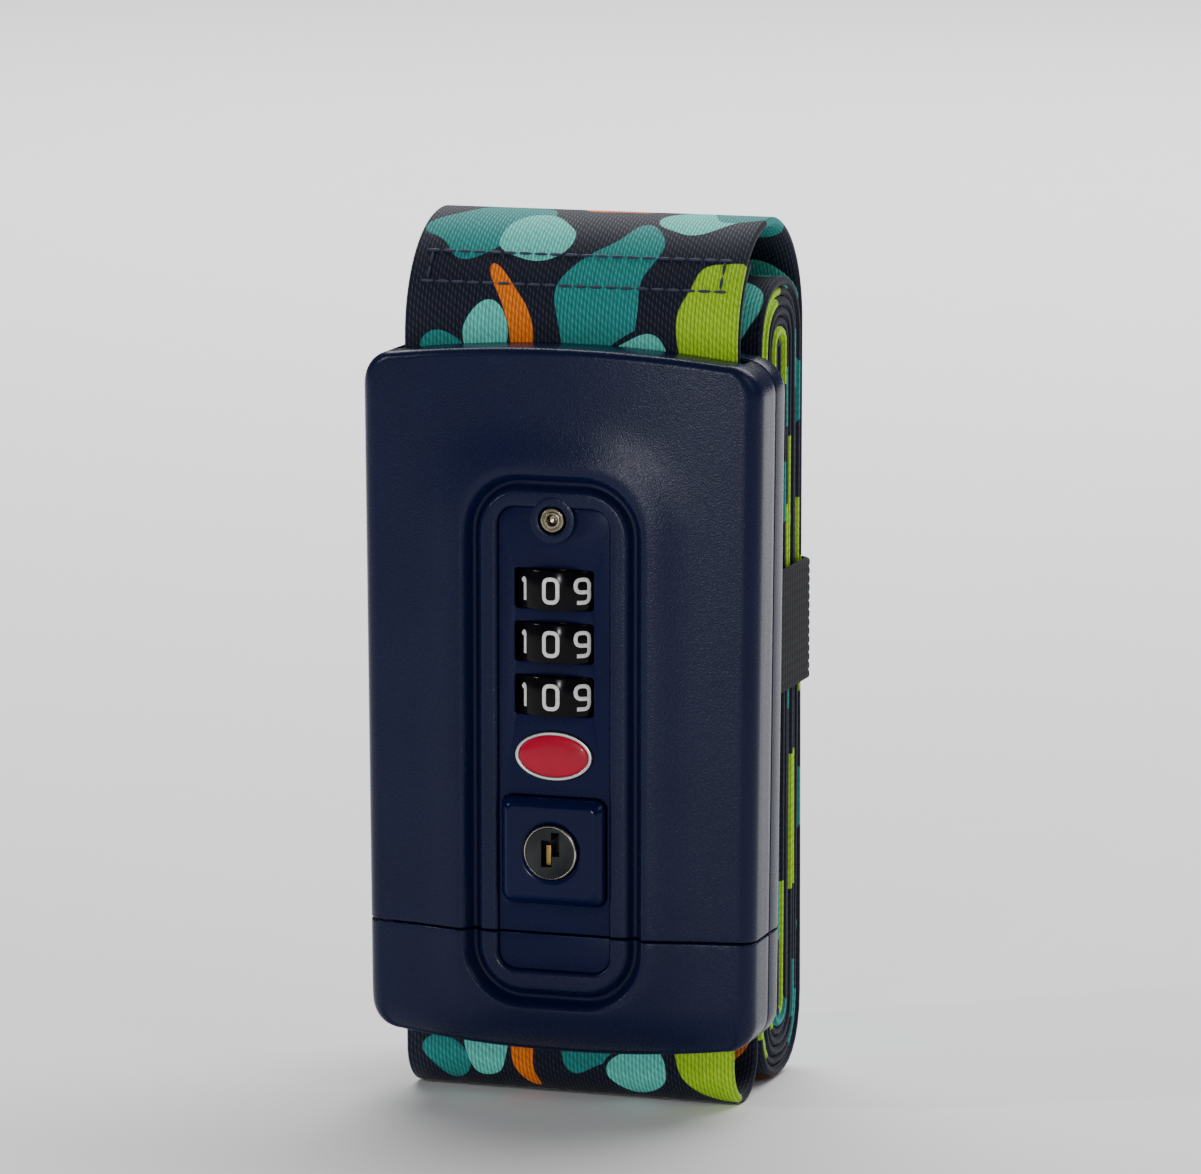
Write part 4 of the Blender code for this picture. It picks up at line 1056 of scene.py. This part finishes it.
def make_dials(materials):
    """Three glossy wheels with recessed ends, each with its ten digits."""
    axis = (0, dial_axis_depth())
    rim = DIAL_RADIUS
    edge = [(rim - 1.2, 0.3), (rim - 0.9, 0.0), (rim - 0.22, 0.0), (rim - 0.06, 0.05), (rim, 0.2)]
    for number, (node, body) in enumerate(DIALS):
        centre_z = dial_centre_z(node)
        low, high = centre_z - DIAL_HEIGHT / 2, centre_z + DIAL_HEIGHT / 2
        profile = [(DIAL_BORE, low + 0.3), *((radius, low + sunk) for radius, sunk in edge),
                   *((radius, high - sunk) for radius, sunk in reversed(edge)), (DIAL_BORE, high - 0.3)]
        wheel = lathe(f"digit_wheel_{number + 1}", profile, axis, "z", materials["dial"], 120)
        finish_piece(wheel, body, "black_dial_plastic", node)
        painted = [painted_digit(digit, math.radians(-36.0 * digit), centre_z, materials["digit"])
                   for digit in range(10)]
        finish_piece(join(f"digits_{number + 1}", *painted), body, "black_dial_plastic")


def make_badge(materials):
    """Plain oval badge: domed red enamel in a silver rim."""
    half = (BADGE[1].x - BADGE[0].x) / 2
    tall = (BADGE[1].z - BADGE[0].z) / 2
    front = BADGE[0].y - RIDGE_Y

    def ovals(section):
        """Loops for (inset, depth behind the front) pairs."""
        return [level_loop(arc((0, BADGE_Z), (half - inset, tall - inset), 0, 360, 72)[:-1], front + sunk)
                for inset, sunk in section]

    rim_section = ((0.0, 0.75), (0.0, 0.15), (0.08, 0.03), (0.18, 0.0), (0.38, 0.0), (0.47, 0.06),
                   (0.52, 0.18), (0.53, 0.75))
    dome_section = ((0.54, 0.7), (0.54, 0.20), (0.70, 0.12), (1.0, 0.05), (1.5, -0.02), (2.2, -0.08),
                    (3.0, -0.12), (3.4, -0.13))
    rim = skin("badge_rim", ovals(rim_section), materials["silver"], closed=True)
    finish_piece(rim, "buckle", "nickel")
    enamel = skin("badge_enamel", ovals(dome_section), materials["enamel"])
    finish_piece(enamel, "buckle", "red_enamel", "emblem_badge")


def make_button(materials):
    """Square push button: bevelled cap with a faint dish, bored for the key plug."""
    half = (BUTTON[1].x - BUTTON[0].x) / 2
    face, cap_back, body_back = BUTTON_FACE, BUTTON_FACE + 1.6, BUTTON_FACE + 6.0
    counts = (8, 8, 8)
    hole = (PLUG[1].x - PLUG[0].x) / 2 + PLUG_CLEARANCE

    def square(inset, corner):
        return rounded_loop(half - inset, BUTTON_Z - half + inset, BUTTON_Z + half - inset,
                            corner, corner, counts)

    def ring(radius):
        """Circle with a point for each of the square's."""
        points = []
        for x, z in square(0.0, 1.5):
            away = math.hypot(x, z - BUTTON_Z)
            points.append((x / away * radius, BUTTON_Z + (z - BUTTON_Z) / away * radius))
        return points

    loops = [level_loop(ring(hole), body_back), level_loop(square(1.1, 1.0), body_back),
             level_loop(square(1.1, 1.0), cap_back), level_loop(square(0.05, 1.45), cap_back)]
    for inset, drop, corner in ((0.0, 1.40, 1.5), (0.04, 1.22, 1.5), (0.16, 1.00, 1.45), (0.40, 0.68, 1.35),
                                (0.70, 0.36, 1.2), (1.00, 0.12, 1.05), (1.25, 0.02, 1.0), (1.40, 0.0, 0.95)):
        loops.append(level_loop(square(inset, corner), face + drop))
    for share in (0.3, 0.65):
        between = blend_outline(square(1.6, 0.9), ring(hole + 0.7), share)
        loops.append(level_loop(between, face + 0.06 * share))
    for grow, drop in ((0.7, 0.06), (0.45, 0.07), (0.30, 0.16), (0.12, 0.20), (0.02, 0.26), (0.0, 0.4)):
        loops.append(level_loop(ring(hole + grow), face + drop))
    cap = skin("push_button", loops, materials["button"], closed=True, sharp_deg=45)
    finish_piece(cap, "button", "deep_blue_plastic", "release_button")


def make_key_plug(materials):
    """Key cylinder in nickel darkened as painted shade, with a stepped keyway and a brass wafer inside it."""
    face, back = PLUG_FACE, PLUG_FACE + 9.8
    radius = (PLUG[1].x - PLUG[0].x) / 2
    plug = lathe("key_cylinder", [(0.02, back), (radius, back), (radius, face + 0.34),
                                  (radius - 0.07, face + 0.14), (radius - 0.26, face + 0.02),
                                  (radius - 0.45, face), (radius - 0.62, face + 0.03), (0.02, face + 0.03)],
                 (0, BUTTON_Z), "y", materials["plug"], 72, closed=False)
    deep = (face - 1, face + 3.4)
    cut(plug, block("keyway_low", (-1.30, 0.30), deep, (BUTTON_Z - 2.1, BUTTON_Z + 1.8), materials["plug"]),
        block("keyway_high", (0.20, 1.45), deep, (BUTTON_Z - 0.5, BUTTON_Z + 3.0), materials["plug"]))
    tidy(plug, materials["plug"], 30)
    finish_piece(plug, "plug", "nickel", "key_plug")
    # rim in the plain bright nickel, while the plug's face is darkened as painted shade
    rim = lathe("key_cylinder_rim", [(radius - 0.10, face + 0.5), (radius + 0.01, face + 0.36),
                                     (radius - 0.05, face + 0.10), (radius - 0.16, face - 0.01),
                                     (radius - 0.28, face + 0.04), (radius - 0.30, face + 0.5)],
                (0, BUTTON_Z), "y", materials["nickel"], 72)
    finish_piece(rim, "plug", "nickel")
    left, right, low, high = -0.85, -0.05, BUTTON_Z - 2.0, BUTTON_Z + 1.0
    wafer = plate("brass_wafer", [[(left, low), (right, low), (right, high), (left, high)]],
                  face + 0.9, face + 1.7, 0.08, materials["brass"])
    finish_piece(wafer, "plug", "brass")


# ---------------------------------------------------------------- webbing

WEB_THICK, LAYER_PITCH = 1.3, 1.45
FRONT_LEG = BOTTOM_RUN[1].y - RIDGE_Y - WEB_THICK / 2      # depth of the leg behind the buckle
REAR_LEG = TOP_RUN[1].y - RIDGE_Y - WEB_THICK / 2          # depth of the leg on the pack's back
INNER_LEG = TOP_RUN[0].y - RIDGE_Y + WEB_THICK / 2         # depth of the webbing in the buckle
PACK_MIDDLE = (FRONT_LEG + REAR_LEG) / 2
OUTER_RADIUS = (REAR_LEG - FRONT_LEG) / 2
TURNS_HIGH, TURNS_LOW = 108.3, 10.9                        # where the layers' end turns are centred
KEEPER_MID = (KEEPER[0].z + KEEPER[1].z) / 2
BAR_DROP = 5.2                                             # from the housing's top down to its bar
SEWN_LENGTH = 19.5                                         # doubled end at the housing's bar
SEWN_PRINT_START = 40.0                                    # place in the print where that end begins
SEAM_INSET, SEAM_LOW, SEAM_HIGH = 3.0, 6.5, 1.6            # box seam: in from the selvedge and from the end
SIDE_SEAM_CLEAR = 1.3                                      # side seams keep this clear of its two rows
STITCH_PITCH, STITCH_LENGTH, STITCH_RADIUS = 2.3, 2.0, 0.24


def end_turn(middle, level, start, end, upper, squash=0.86, steps=14):
    """Points of a fold between offsets start and end from the middle, bulging up or down."""
    points = []
    side = math.copysign(1, start)
    for step in range(steps + 1):
        angle = math.pi * step / steps
        radius = abs(start) + (abs(end) - abs(start)) * step / steps
        across = math.copysign(abs(math.cos(angle)) ** squash, math.cos(angle))
        rise = radius * abs(math.sin(angle)) ** squash
        points.append((middle + side * across * radius, level + (rise if upper else -rise)))
    return points


def leg(depth, start_z, end_z, wave, phase):
    """Points strictly inside a straight layer, with a slight slack wave."""
    steps = max(int(abs(end_z - start_z) / 3.0), 2)
    points = []
    for step in range(1, steps):
        share = step / steps
        slack = wave * math.sin(math.pi * share) * math.sin(2.3 * math.pi * share + phase)
        points.append((depth + slack, start_z + (end_z - start_z) * share))
    return points


def wound_strand(first_side, first_going_up, count, rng):
    """One strand of the flat winding, from outside to core: legs joined by folds.

    first_side is +1 behind the middle and -1 in front of it. Each fold moves the strand
    in by one layer.
    """
    points = []
    side, going_up = first_side, first_going_up
    for k in range(count):
        radius = OUTER_RADIUS - k * LAYER_PITCH
        start_z, end_z = (TURNS_LOW, TURNS_HIGH) if going_up else (TURNS_HIGH, TURNS_LOW)
        points += leg(PACK_MIDDLE + side * radius, start_z, end_z, 0.0 if k == 0 else 0.05, rng.uniform(0, 6))
        if k < count - 1:
            nxt = radius - LAYER_PITCH
            points += end_turn(PACK_MIDDLE, TURNS_HIGH if going_up else TURNS_LOW, side * radius, -side * nxt,
                               going_up)
        side, going_up = -side, not going_up
    return points


def arch_path():
    """From the housing's bar up, over the pack and down its back to the keeper."""
    radius = (REAR_LEG - INNER_LEG) / 2
    spring = TOP_RUN[1].z - WEB_THICK / 2 - radius
    start = HOUSING_TOP - BAR_DROP
    points = [(INNER_LEG, start), (INNER_LEG, (start + spring) / 2)]
    points += arc((INNER_LEG + radius, spring), radius, 180, 0, 40)
    points += leg(REAR_LEG, spring, KEEPER_MID, 0.0, 0.0)
    return points + [(REAR_LEG, KEEPER_MID)]


def folded_path():
    """From under the keeper through the whole winding to the tongue's bar."""
    rng = random.Random(11)
    count = 7
    outer = wound_strand(1, False, count, rng)
    outer = [point for point in outer if point[1] < KEEPER_MID - 0.5 or point[0] < REAR_LEG - 0.7]
    inner = wound_strand(-1, True, count, rng)
    last = OUTER_RADIUS - (count - 1) * LAYER_PITCH
    side = 1 if count % 2 else -1
    reach = side * last / 2
    core = (end_turn(PACK_MIDDLE, TURNS_LOW, side * last, -side * 0.05, False, steps=8)
            + leg(PACK_MIDDLE, TURNS_LOW, TURNS_HIGH, 0.0, 0.0)
            + end_turn(PACK_MIDDLE - reach, TURNS_HIGH, reach, -reach, True, steps=8))
    radius = (FRONT_LEG - INNER_LEG) / 2
    centre_z = radius + WEB_THICK / 2
    turn = arc((INNER_LEG + radius, centre_z), radius, 0, -180, 24)
    tail = leg(FRONT_LEG, TURNS_LOW, centre_z, 0.0, 0.0)
    return ([(REAR_LEG, KEEPER_MID)] + outer + core + inner[::-1] + tail + turn
            + [(INNER_LEG, BUCKLE_BOTTOM + 1.0), (INNER_LEG, BUCKLE_BOTTOM + 2.6)])


def clean(points, nearest=0.05):
    """Path without the points that lie almost on the one before."""
    kept = [points[0]]
    for point in points[1:]:
        if math.dist(point, kept[-1]) > nearest:
            kept.append(point)
    return kept


# Rounded edge of the webbing: (distance in from its edge, share of half its thickness)
SELVEDGE = ((0.35, 1.0), (0.08, 0.62), (0.0, 0.0), (0.08, -0.62), (0.35, -1.0))


def webbing_strip(name, points, start_mm, materials, sway=0.0, seed=1):
    """Webbing swept along a (depth, z) path, with rounded selvedges and a UV map in millimetres."""
    points = clean(points)
    rng = random.Random(seed)
    phase = rng.uniform(0, 6)
    half, thick = WEBBING_WIDTH / 2, WEB_THICK / 2
    columns = 12
    section = [(-half + 2 * half * k / columns, thick) for k in range(1, columns)]
    section += [(half - inset, thick * share) for inset, share in SELVEDGE]
    section += [(-across, -out) for across, out in section]
    count = len(section)
    verts, faces, travelled = [], [], [start_mm]
    for k, point in enumerate(points):
        before, after = Vector(points[max(k - 1, 0)]), Vector(points[min(k + 1, len(points) - 1)])
        along = (after - before).normalized()
        normal = Vector((-along.y, along.x))
        if k:
            travelled.append(travelled[-1] + math.dist(point, points[k - 1]))
        drift = sway * math.sin(travelled[-1] / 47.0 + phase)
        for across, out in section:
            verts.append(world(across + drift, point[0] + normal.x * out, point[1] + normal.y * out))
    for row in range(len(points) - 1):
        for k in range(count):
            nxt = (k + 1) % count
            faces.append((row * count + k, row * count + nxt, (row + 1) * count + nxt, (row + 1) * count + k))
    faces.append(tuple(range(count)))
    faces.append(tuple(range((len(points) - 1) * count, len(points) * count)))
    mesh = bpy.data.meshes.new(name)
    mesh.from_pydata(verts, [], faces)
    layer = mesh.uv_layers.new(name="webbing_mm")
    for loop in mesh.loops:
        row, k = divmod(loop.vertex_index, count)
        layer.data[loop.index].uv = (section[k][0] + half, travelled[row])
    made = bpy.data.objects.new(name, mesh)
    bpy.context.collection.objects.link(made)
    shell = bmesh.new()
    shell.from_mesh(mesh)
    bmesh.ops.recalc_face_normals(shell, faces=shell.faces)
    shell.to_mesh(mesh)
    shell.free()
    mesh.materials.append(materials["webbing"])
    mesh.shade_smooth()
    mesh.set_sharp_from_angle(angle=math.radians(60))
    return made, travelled[-1]


def path_place(points, travelled):
    """Point and direction at a distance along a path."""
    left = travelled
    for start, end in zip(points, points[1:]):
        step = math.dist(start, end)
        if left <= step:
            along = (Vector(end) - Vector(start)).normalized()
            return Vector(start) + along * left, along
        left -= step
    return Vector(points[-1]), along


def shifted(points, start_mm, end_mm, amount):
    """Part of a path, moved sideways by an amount; positive is outwards for the arch."""
    moved = []
    steps = 24
    for k in range(steps + 1):
        point, along = path_place(points, start_mm + (end_mm - start_mm) * k / steps)
        moved.append((point.x - along.y * amount, point.y + along.x * amount))
    return moved


def stitch_group(material):
    """Geometry nodes: lays short round stitches along each edge path of a mesh."""
    group = bpy.data.node_groups.new("stitches", "GeometryNodeTree")
    group.interface.new_socket("Seam", in_out="INPUT", socket_type="NodeSocketGeometry")
    for name, size_mm in (("Pitch", STITCH_PITCH), ("Length", STITCH_LENGTH), ("Radius", STITCH_RADIUS)):
        socket = group.interface.new_socket(name, in_out="INPUT", socket_type="NodeSocketFloat")
        socket.default_value = size_mm * MM
    group.interface.new_socket("Stitches", in_out="OUTPUT", socket_type="NodeSocketGeometry")
    given, made = group.nodes.new("NodeGroupInput"), group.nodes.new("NodeGroupOutput")
    curve = group.nodes.new("GeometryNodeMeshToCurve")
    even = group.nodes.new("GeometryNodeResampleCurve")
    points = group.nodes.new("GeometryNodeCurveToPoints")
    capsule = group.nodes.new("GeometryNodeMeshUVSphere")
    stretch = group.nodes.new("GeometryNodeTransform")
    size = group.nodes.new("ShaderNodeCombineXYZ")
    half = group.nodes.new("ShaderNodeMath")
    instances = group.nodes.new("GeometryNodeInstanceOnPoints")
    real = group.nodes.new("GeometryNodeRealizeInstances")
    paint = group.nodes.new("GeometryNodeSetMaterial")
    half.operation = "MULTIPLY"
    half.inputs[1].default_value = 0.5
    even.mode = "LENGTH"
    points.mode = "EVALUATED"
    capsule.inputs["Segments"].default_value = 10
    capsule.inputs["Rings"].default_value = 8
    capsule.inputs["Radius"].default_value = 1.0
    paint.inputs["Material"].default_value = material
    link = group.links.new
    link(given.outputs["Seam"], curve.inputs["Mesh"])
    link(curve.outputs["Curve"], even.inputs["Curve"])
    link(given.outputs["Pitch"], even.inputs["Length"])
    link(even.outputs["Curve"], points.inputs["Curve"])
    link(given.outputs["Radius"], size.inputs[0])
    link(given.outputs["Radius"], size.inputs[1])
    link(given.outputs["Length"], half.inputs[0])
    link(half.outputs[0], size.inputs[2])
    link(capsule.outputs["Mesh"], stretch.inputs["Geometry"])
    link(size.outputs[0], stretch.inputs["Scale"])
    link(points.outputs["Points"], instances.inputs["Points"])
    link(stretch.outputs["Geometry"], instances.inputs["Instance"])
    link(points.outputs["Rotation"], instances.inputs["Rotation"])
    link(instances.outputs["Instances"], real.inputs["Geometry"])
    link(real.outputs["Geometry"], paint.inputs["Geometry"])
    link(paint.outputs["Geometry"], made.inputs["Stitches"])
    return group


def make_stitches(name, seams, group, material):
    """Stitches along seams, each a list of world points, as one plain mesh."""
    verts, edges = [], []
    for seam in seams:
        first = len(verts)
        verts += seam
        edges += [(first + k, first + k + 1) for k in range(len(seam) - 1)]
    mesh = bpy.data.meshes.new(name)
    mesh.from_pydata(verts, edges, [])
    made = bpy.data.objects.new(name, mesh)
    bpy.context.collection.objects.link(made)
    step = made.modifiers.new("stitches", "NODES")
    step.node_group = group
    bake(made)
    made.data.materials.clear()
    made.data.materials.append(material)
    made.data.shade_smooth()
    return made


def sewn_end(arch_points, materials):
    """The webbing's end, folded back behind the front leg and box-stitched to it."""
    path = shifted(arch_points, 0.6, SEWN_LENGTH, -WEB_THICK - 0.05)
    returned, reached = webbing_strip("webbing_sewn_end", path, SEWN_PRINT_START, materials)

    def on_arch(across, travelled):
        point, along = path_place(arch_points, travelled)
        lift = WEB_THICK / 2 + STITCH_RADIUS * 0.35
        return world(across, point.x - along.y * lift, point.y + along.x * lift)

    reach, low, high = WEBBING_WIDTH / 2 - SEAM_INSET, SEWN_LENGTH - SEAM_LOW, SEWN_LENGTH - SEAM_HIGH
    seams = []
    for row in (low, high):
        seams.append([on_arch(-reach + 2 * reach * k / 40, row) for k in range(41)])
    side_low, side_length = low + SIDE_SEAM_CLEAR, high - low - 2 * SIDE_SEAM_CLEAR
    for side in (-reach, reach):
        seams.append([on_arch(side, side_low + side_length * k / 6) for k in range(7)])
    stitches = make_stitches("end_stitches", seams, stitch_group(materials["thread"]), materials["thread"])
    return returned, stitches


def make_webbing(materials):
    """The arch, which turns from the pack's body to the buckle's, its sewn end, and the folded rest."""
    arch_points = clean(arch_path())
    arch, reached = webbing_strip("webbing_arch", arch_points, 0.0, materials)
    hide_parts("webbing_top_run")
    for piece in (arch, *sewn_end(arch_points, materials)):
        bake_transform(piece)

    folded, total = webbing_strip("webbing_folded", folded_path(), reached, materials, 0.15, 5)
    finish_piece(folded, "base", "printed_webbing", "webbing_pack", "webbing_bottom_run")


def make_keeper(materials):
    """Ribbed elastic band round the folded webbing."""
    low, high = KEEPER[0].z, KEEPER[1].z
    front, back = KEEPER[0].y - RIDGE_Y, KEEPER[1].y - RIDGE_Y
    half, corner = KEEPER[1].x, 2.2
    inside, middle = 0.85, 0.45               # insets of the band's inner face and of its thickness' middle

    def outline(inset):
        return (arc((half - corner, front + corner), corner - inset, -90, 0, 8)
                + arc((half - corner, back - corner), corner - inset, 0, 90, 8)
                + arc((-half + corner, back - corner), corner - inset, 90, 180, 8)
                + arc((-half + corner, front + corner), corner - inset, 180, 270, 8))

    def band(inset, z):
        return [world(x, depth, z) for x, depth in outline(inset)]

    loops = [band(inside, low)]
    ribs = 14
    rows = ribs * 6
    for row in range(rows + 1):
        share = row / rows
        groove = 0.16 * abs(math.cos(math.pi * ribs * share)) ** 6
        edge = 0.25 if row in (0, rows) else 0.0
        loops.append(band(0.06 + groove + edge, low + (high - low) * share))
    loops.append(band(inside, high))
    keeper = skin("keeper_band", loops, materials["elastic"], closed=True, sharp_deg=60)
    finish_piece(keeper, "base", "black_elastic", "elastic_keeper")


# ---------------------------------------------------------------- floor, light and camera

def area_light(name, place_m, aim_m, size_m, watts):
    """Rectangular light facing a point."""
    light = bpy.data.lights.new(name, "AREA")
    light.shape = "RECTANGLE"
    light.size, light.size_y = size_m
    light.energy = watts
    lamp = bpy.data.objects.new(name, light)
    lamp.location = place_m
    lamp.rotation_euler = (Vector(aim_m) - Vector(place_m)).to_track_quat("-Z", "Y").to_euler()
    bpy.context.collection.objects.link(lamp)


def make_stage(materials):
    """Pale floor, dim white room and four soft lights."""
    half_m = 6.0
    corners = [(-half_m, -half_m, 0), (half_m, -half_m, 0), (half_m, half_m, 0), (-half_m, half_m, 0)]
    floor = new_mesh_object("floor", corners, [(0, 1, 2, 3)], materials["floor"])
    room = bpy.data.worlds.new("soft_white_room")
    room.use_nodes = True
    room.node_tree.nodes["Background"].inputs["Color"].default_value = (1.0, 1.0, 1.0, 1.0)
    room.node_tree.nodes["Background"].inputs["Strength"].default_value = 0.10
    bpy.context.scene.world = room
    aim_m = (0, 0, 0.09)
    area_light("key", (0.03, -1.15, 0.18), aim_m, (0.06, 0.06), 3.2)
    area_light("glint", (-0.75, -0.50, 0.42), aim_m, (0.05, 0.05), 2.2)
    area_light("side", (0.70, -0.30, 0.50), aim_m, (0.3, 0.3), 0.9)
    area_light("back", (0.0, 1.3, 1.4), (0, 1.1, 0), (2.6, 1.6), 80.0)


def make_camera():
    """Long lens, a little above the buckle and to its right."""
    azimuth, elevation, distance_m = math.radians(18.0), math.radians(9.5), 1.0
    aim_m = Vector((0.0005, 0.0, 0.0735))
    away = Vector((math.sin(azimuth) * math.cos(elevation), -math.cos(azimuth) * math.cos(elevation),
                   math.sin(elevation)))
    lens = bpy.data.cameras.new("camera")
    lens.lens = 206.0
    lens.sensor_width = 36.0
    lens.clip_start = 0.05
    camera = bpy.data.objects.new("camera", lens)
    camera.location = aim_m + away * distance_m
    camera.rotation_euler = (-away).to_track_quat("-Z", "Y").to_euler()
    bpy.context.collection.objects.link(camera)
    bpy.context.scene.camera = camera


def dress_cad_nodes(materials):
    """Give each CAD node that still shows its finish."""
    finish_of_slot = {
        "navy_plastic": "navy", "deep_blue_plastic": "blue", "black_dial_plastic": "dial", "steel": "steel",
        "nickel": "nickel", "zinc_plated_steel": "zinc", "brass": "brass", "red_enamel": "enamel",
        "printed_webbing": "webbing", "black_elastic": "elastic",
    }
    for part in frame["record"]["subparts"]:
        obj = frame["nodes"][part["node"]]
        obj.data.materials.clear()
        obj.data.materials.append(materials[finish_of_slot[part["material_slot"]]])


def main():
    materials = make_materials()
    make_camera()
    make_stage(materials)
    dress_cad_nodes(materials)
    make_case(materials)
    make_panel(materials)
    make_reset_pin(materials)
    make_dials(materials)
    make_badge(materials)
    make_button(materials)
    make_key_plug(materials)
    make_webbing(materials)
    make_keeper(materials)


main()
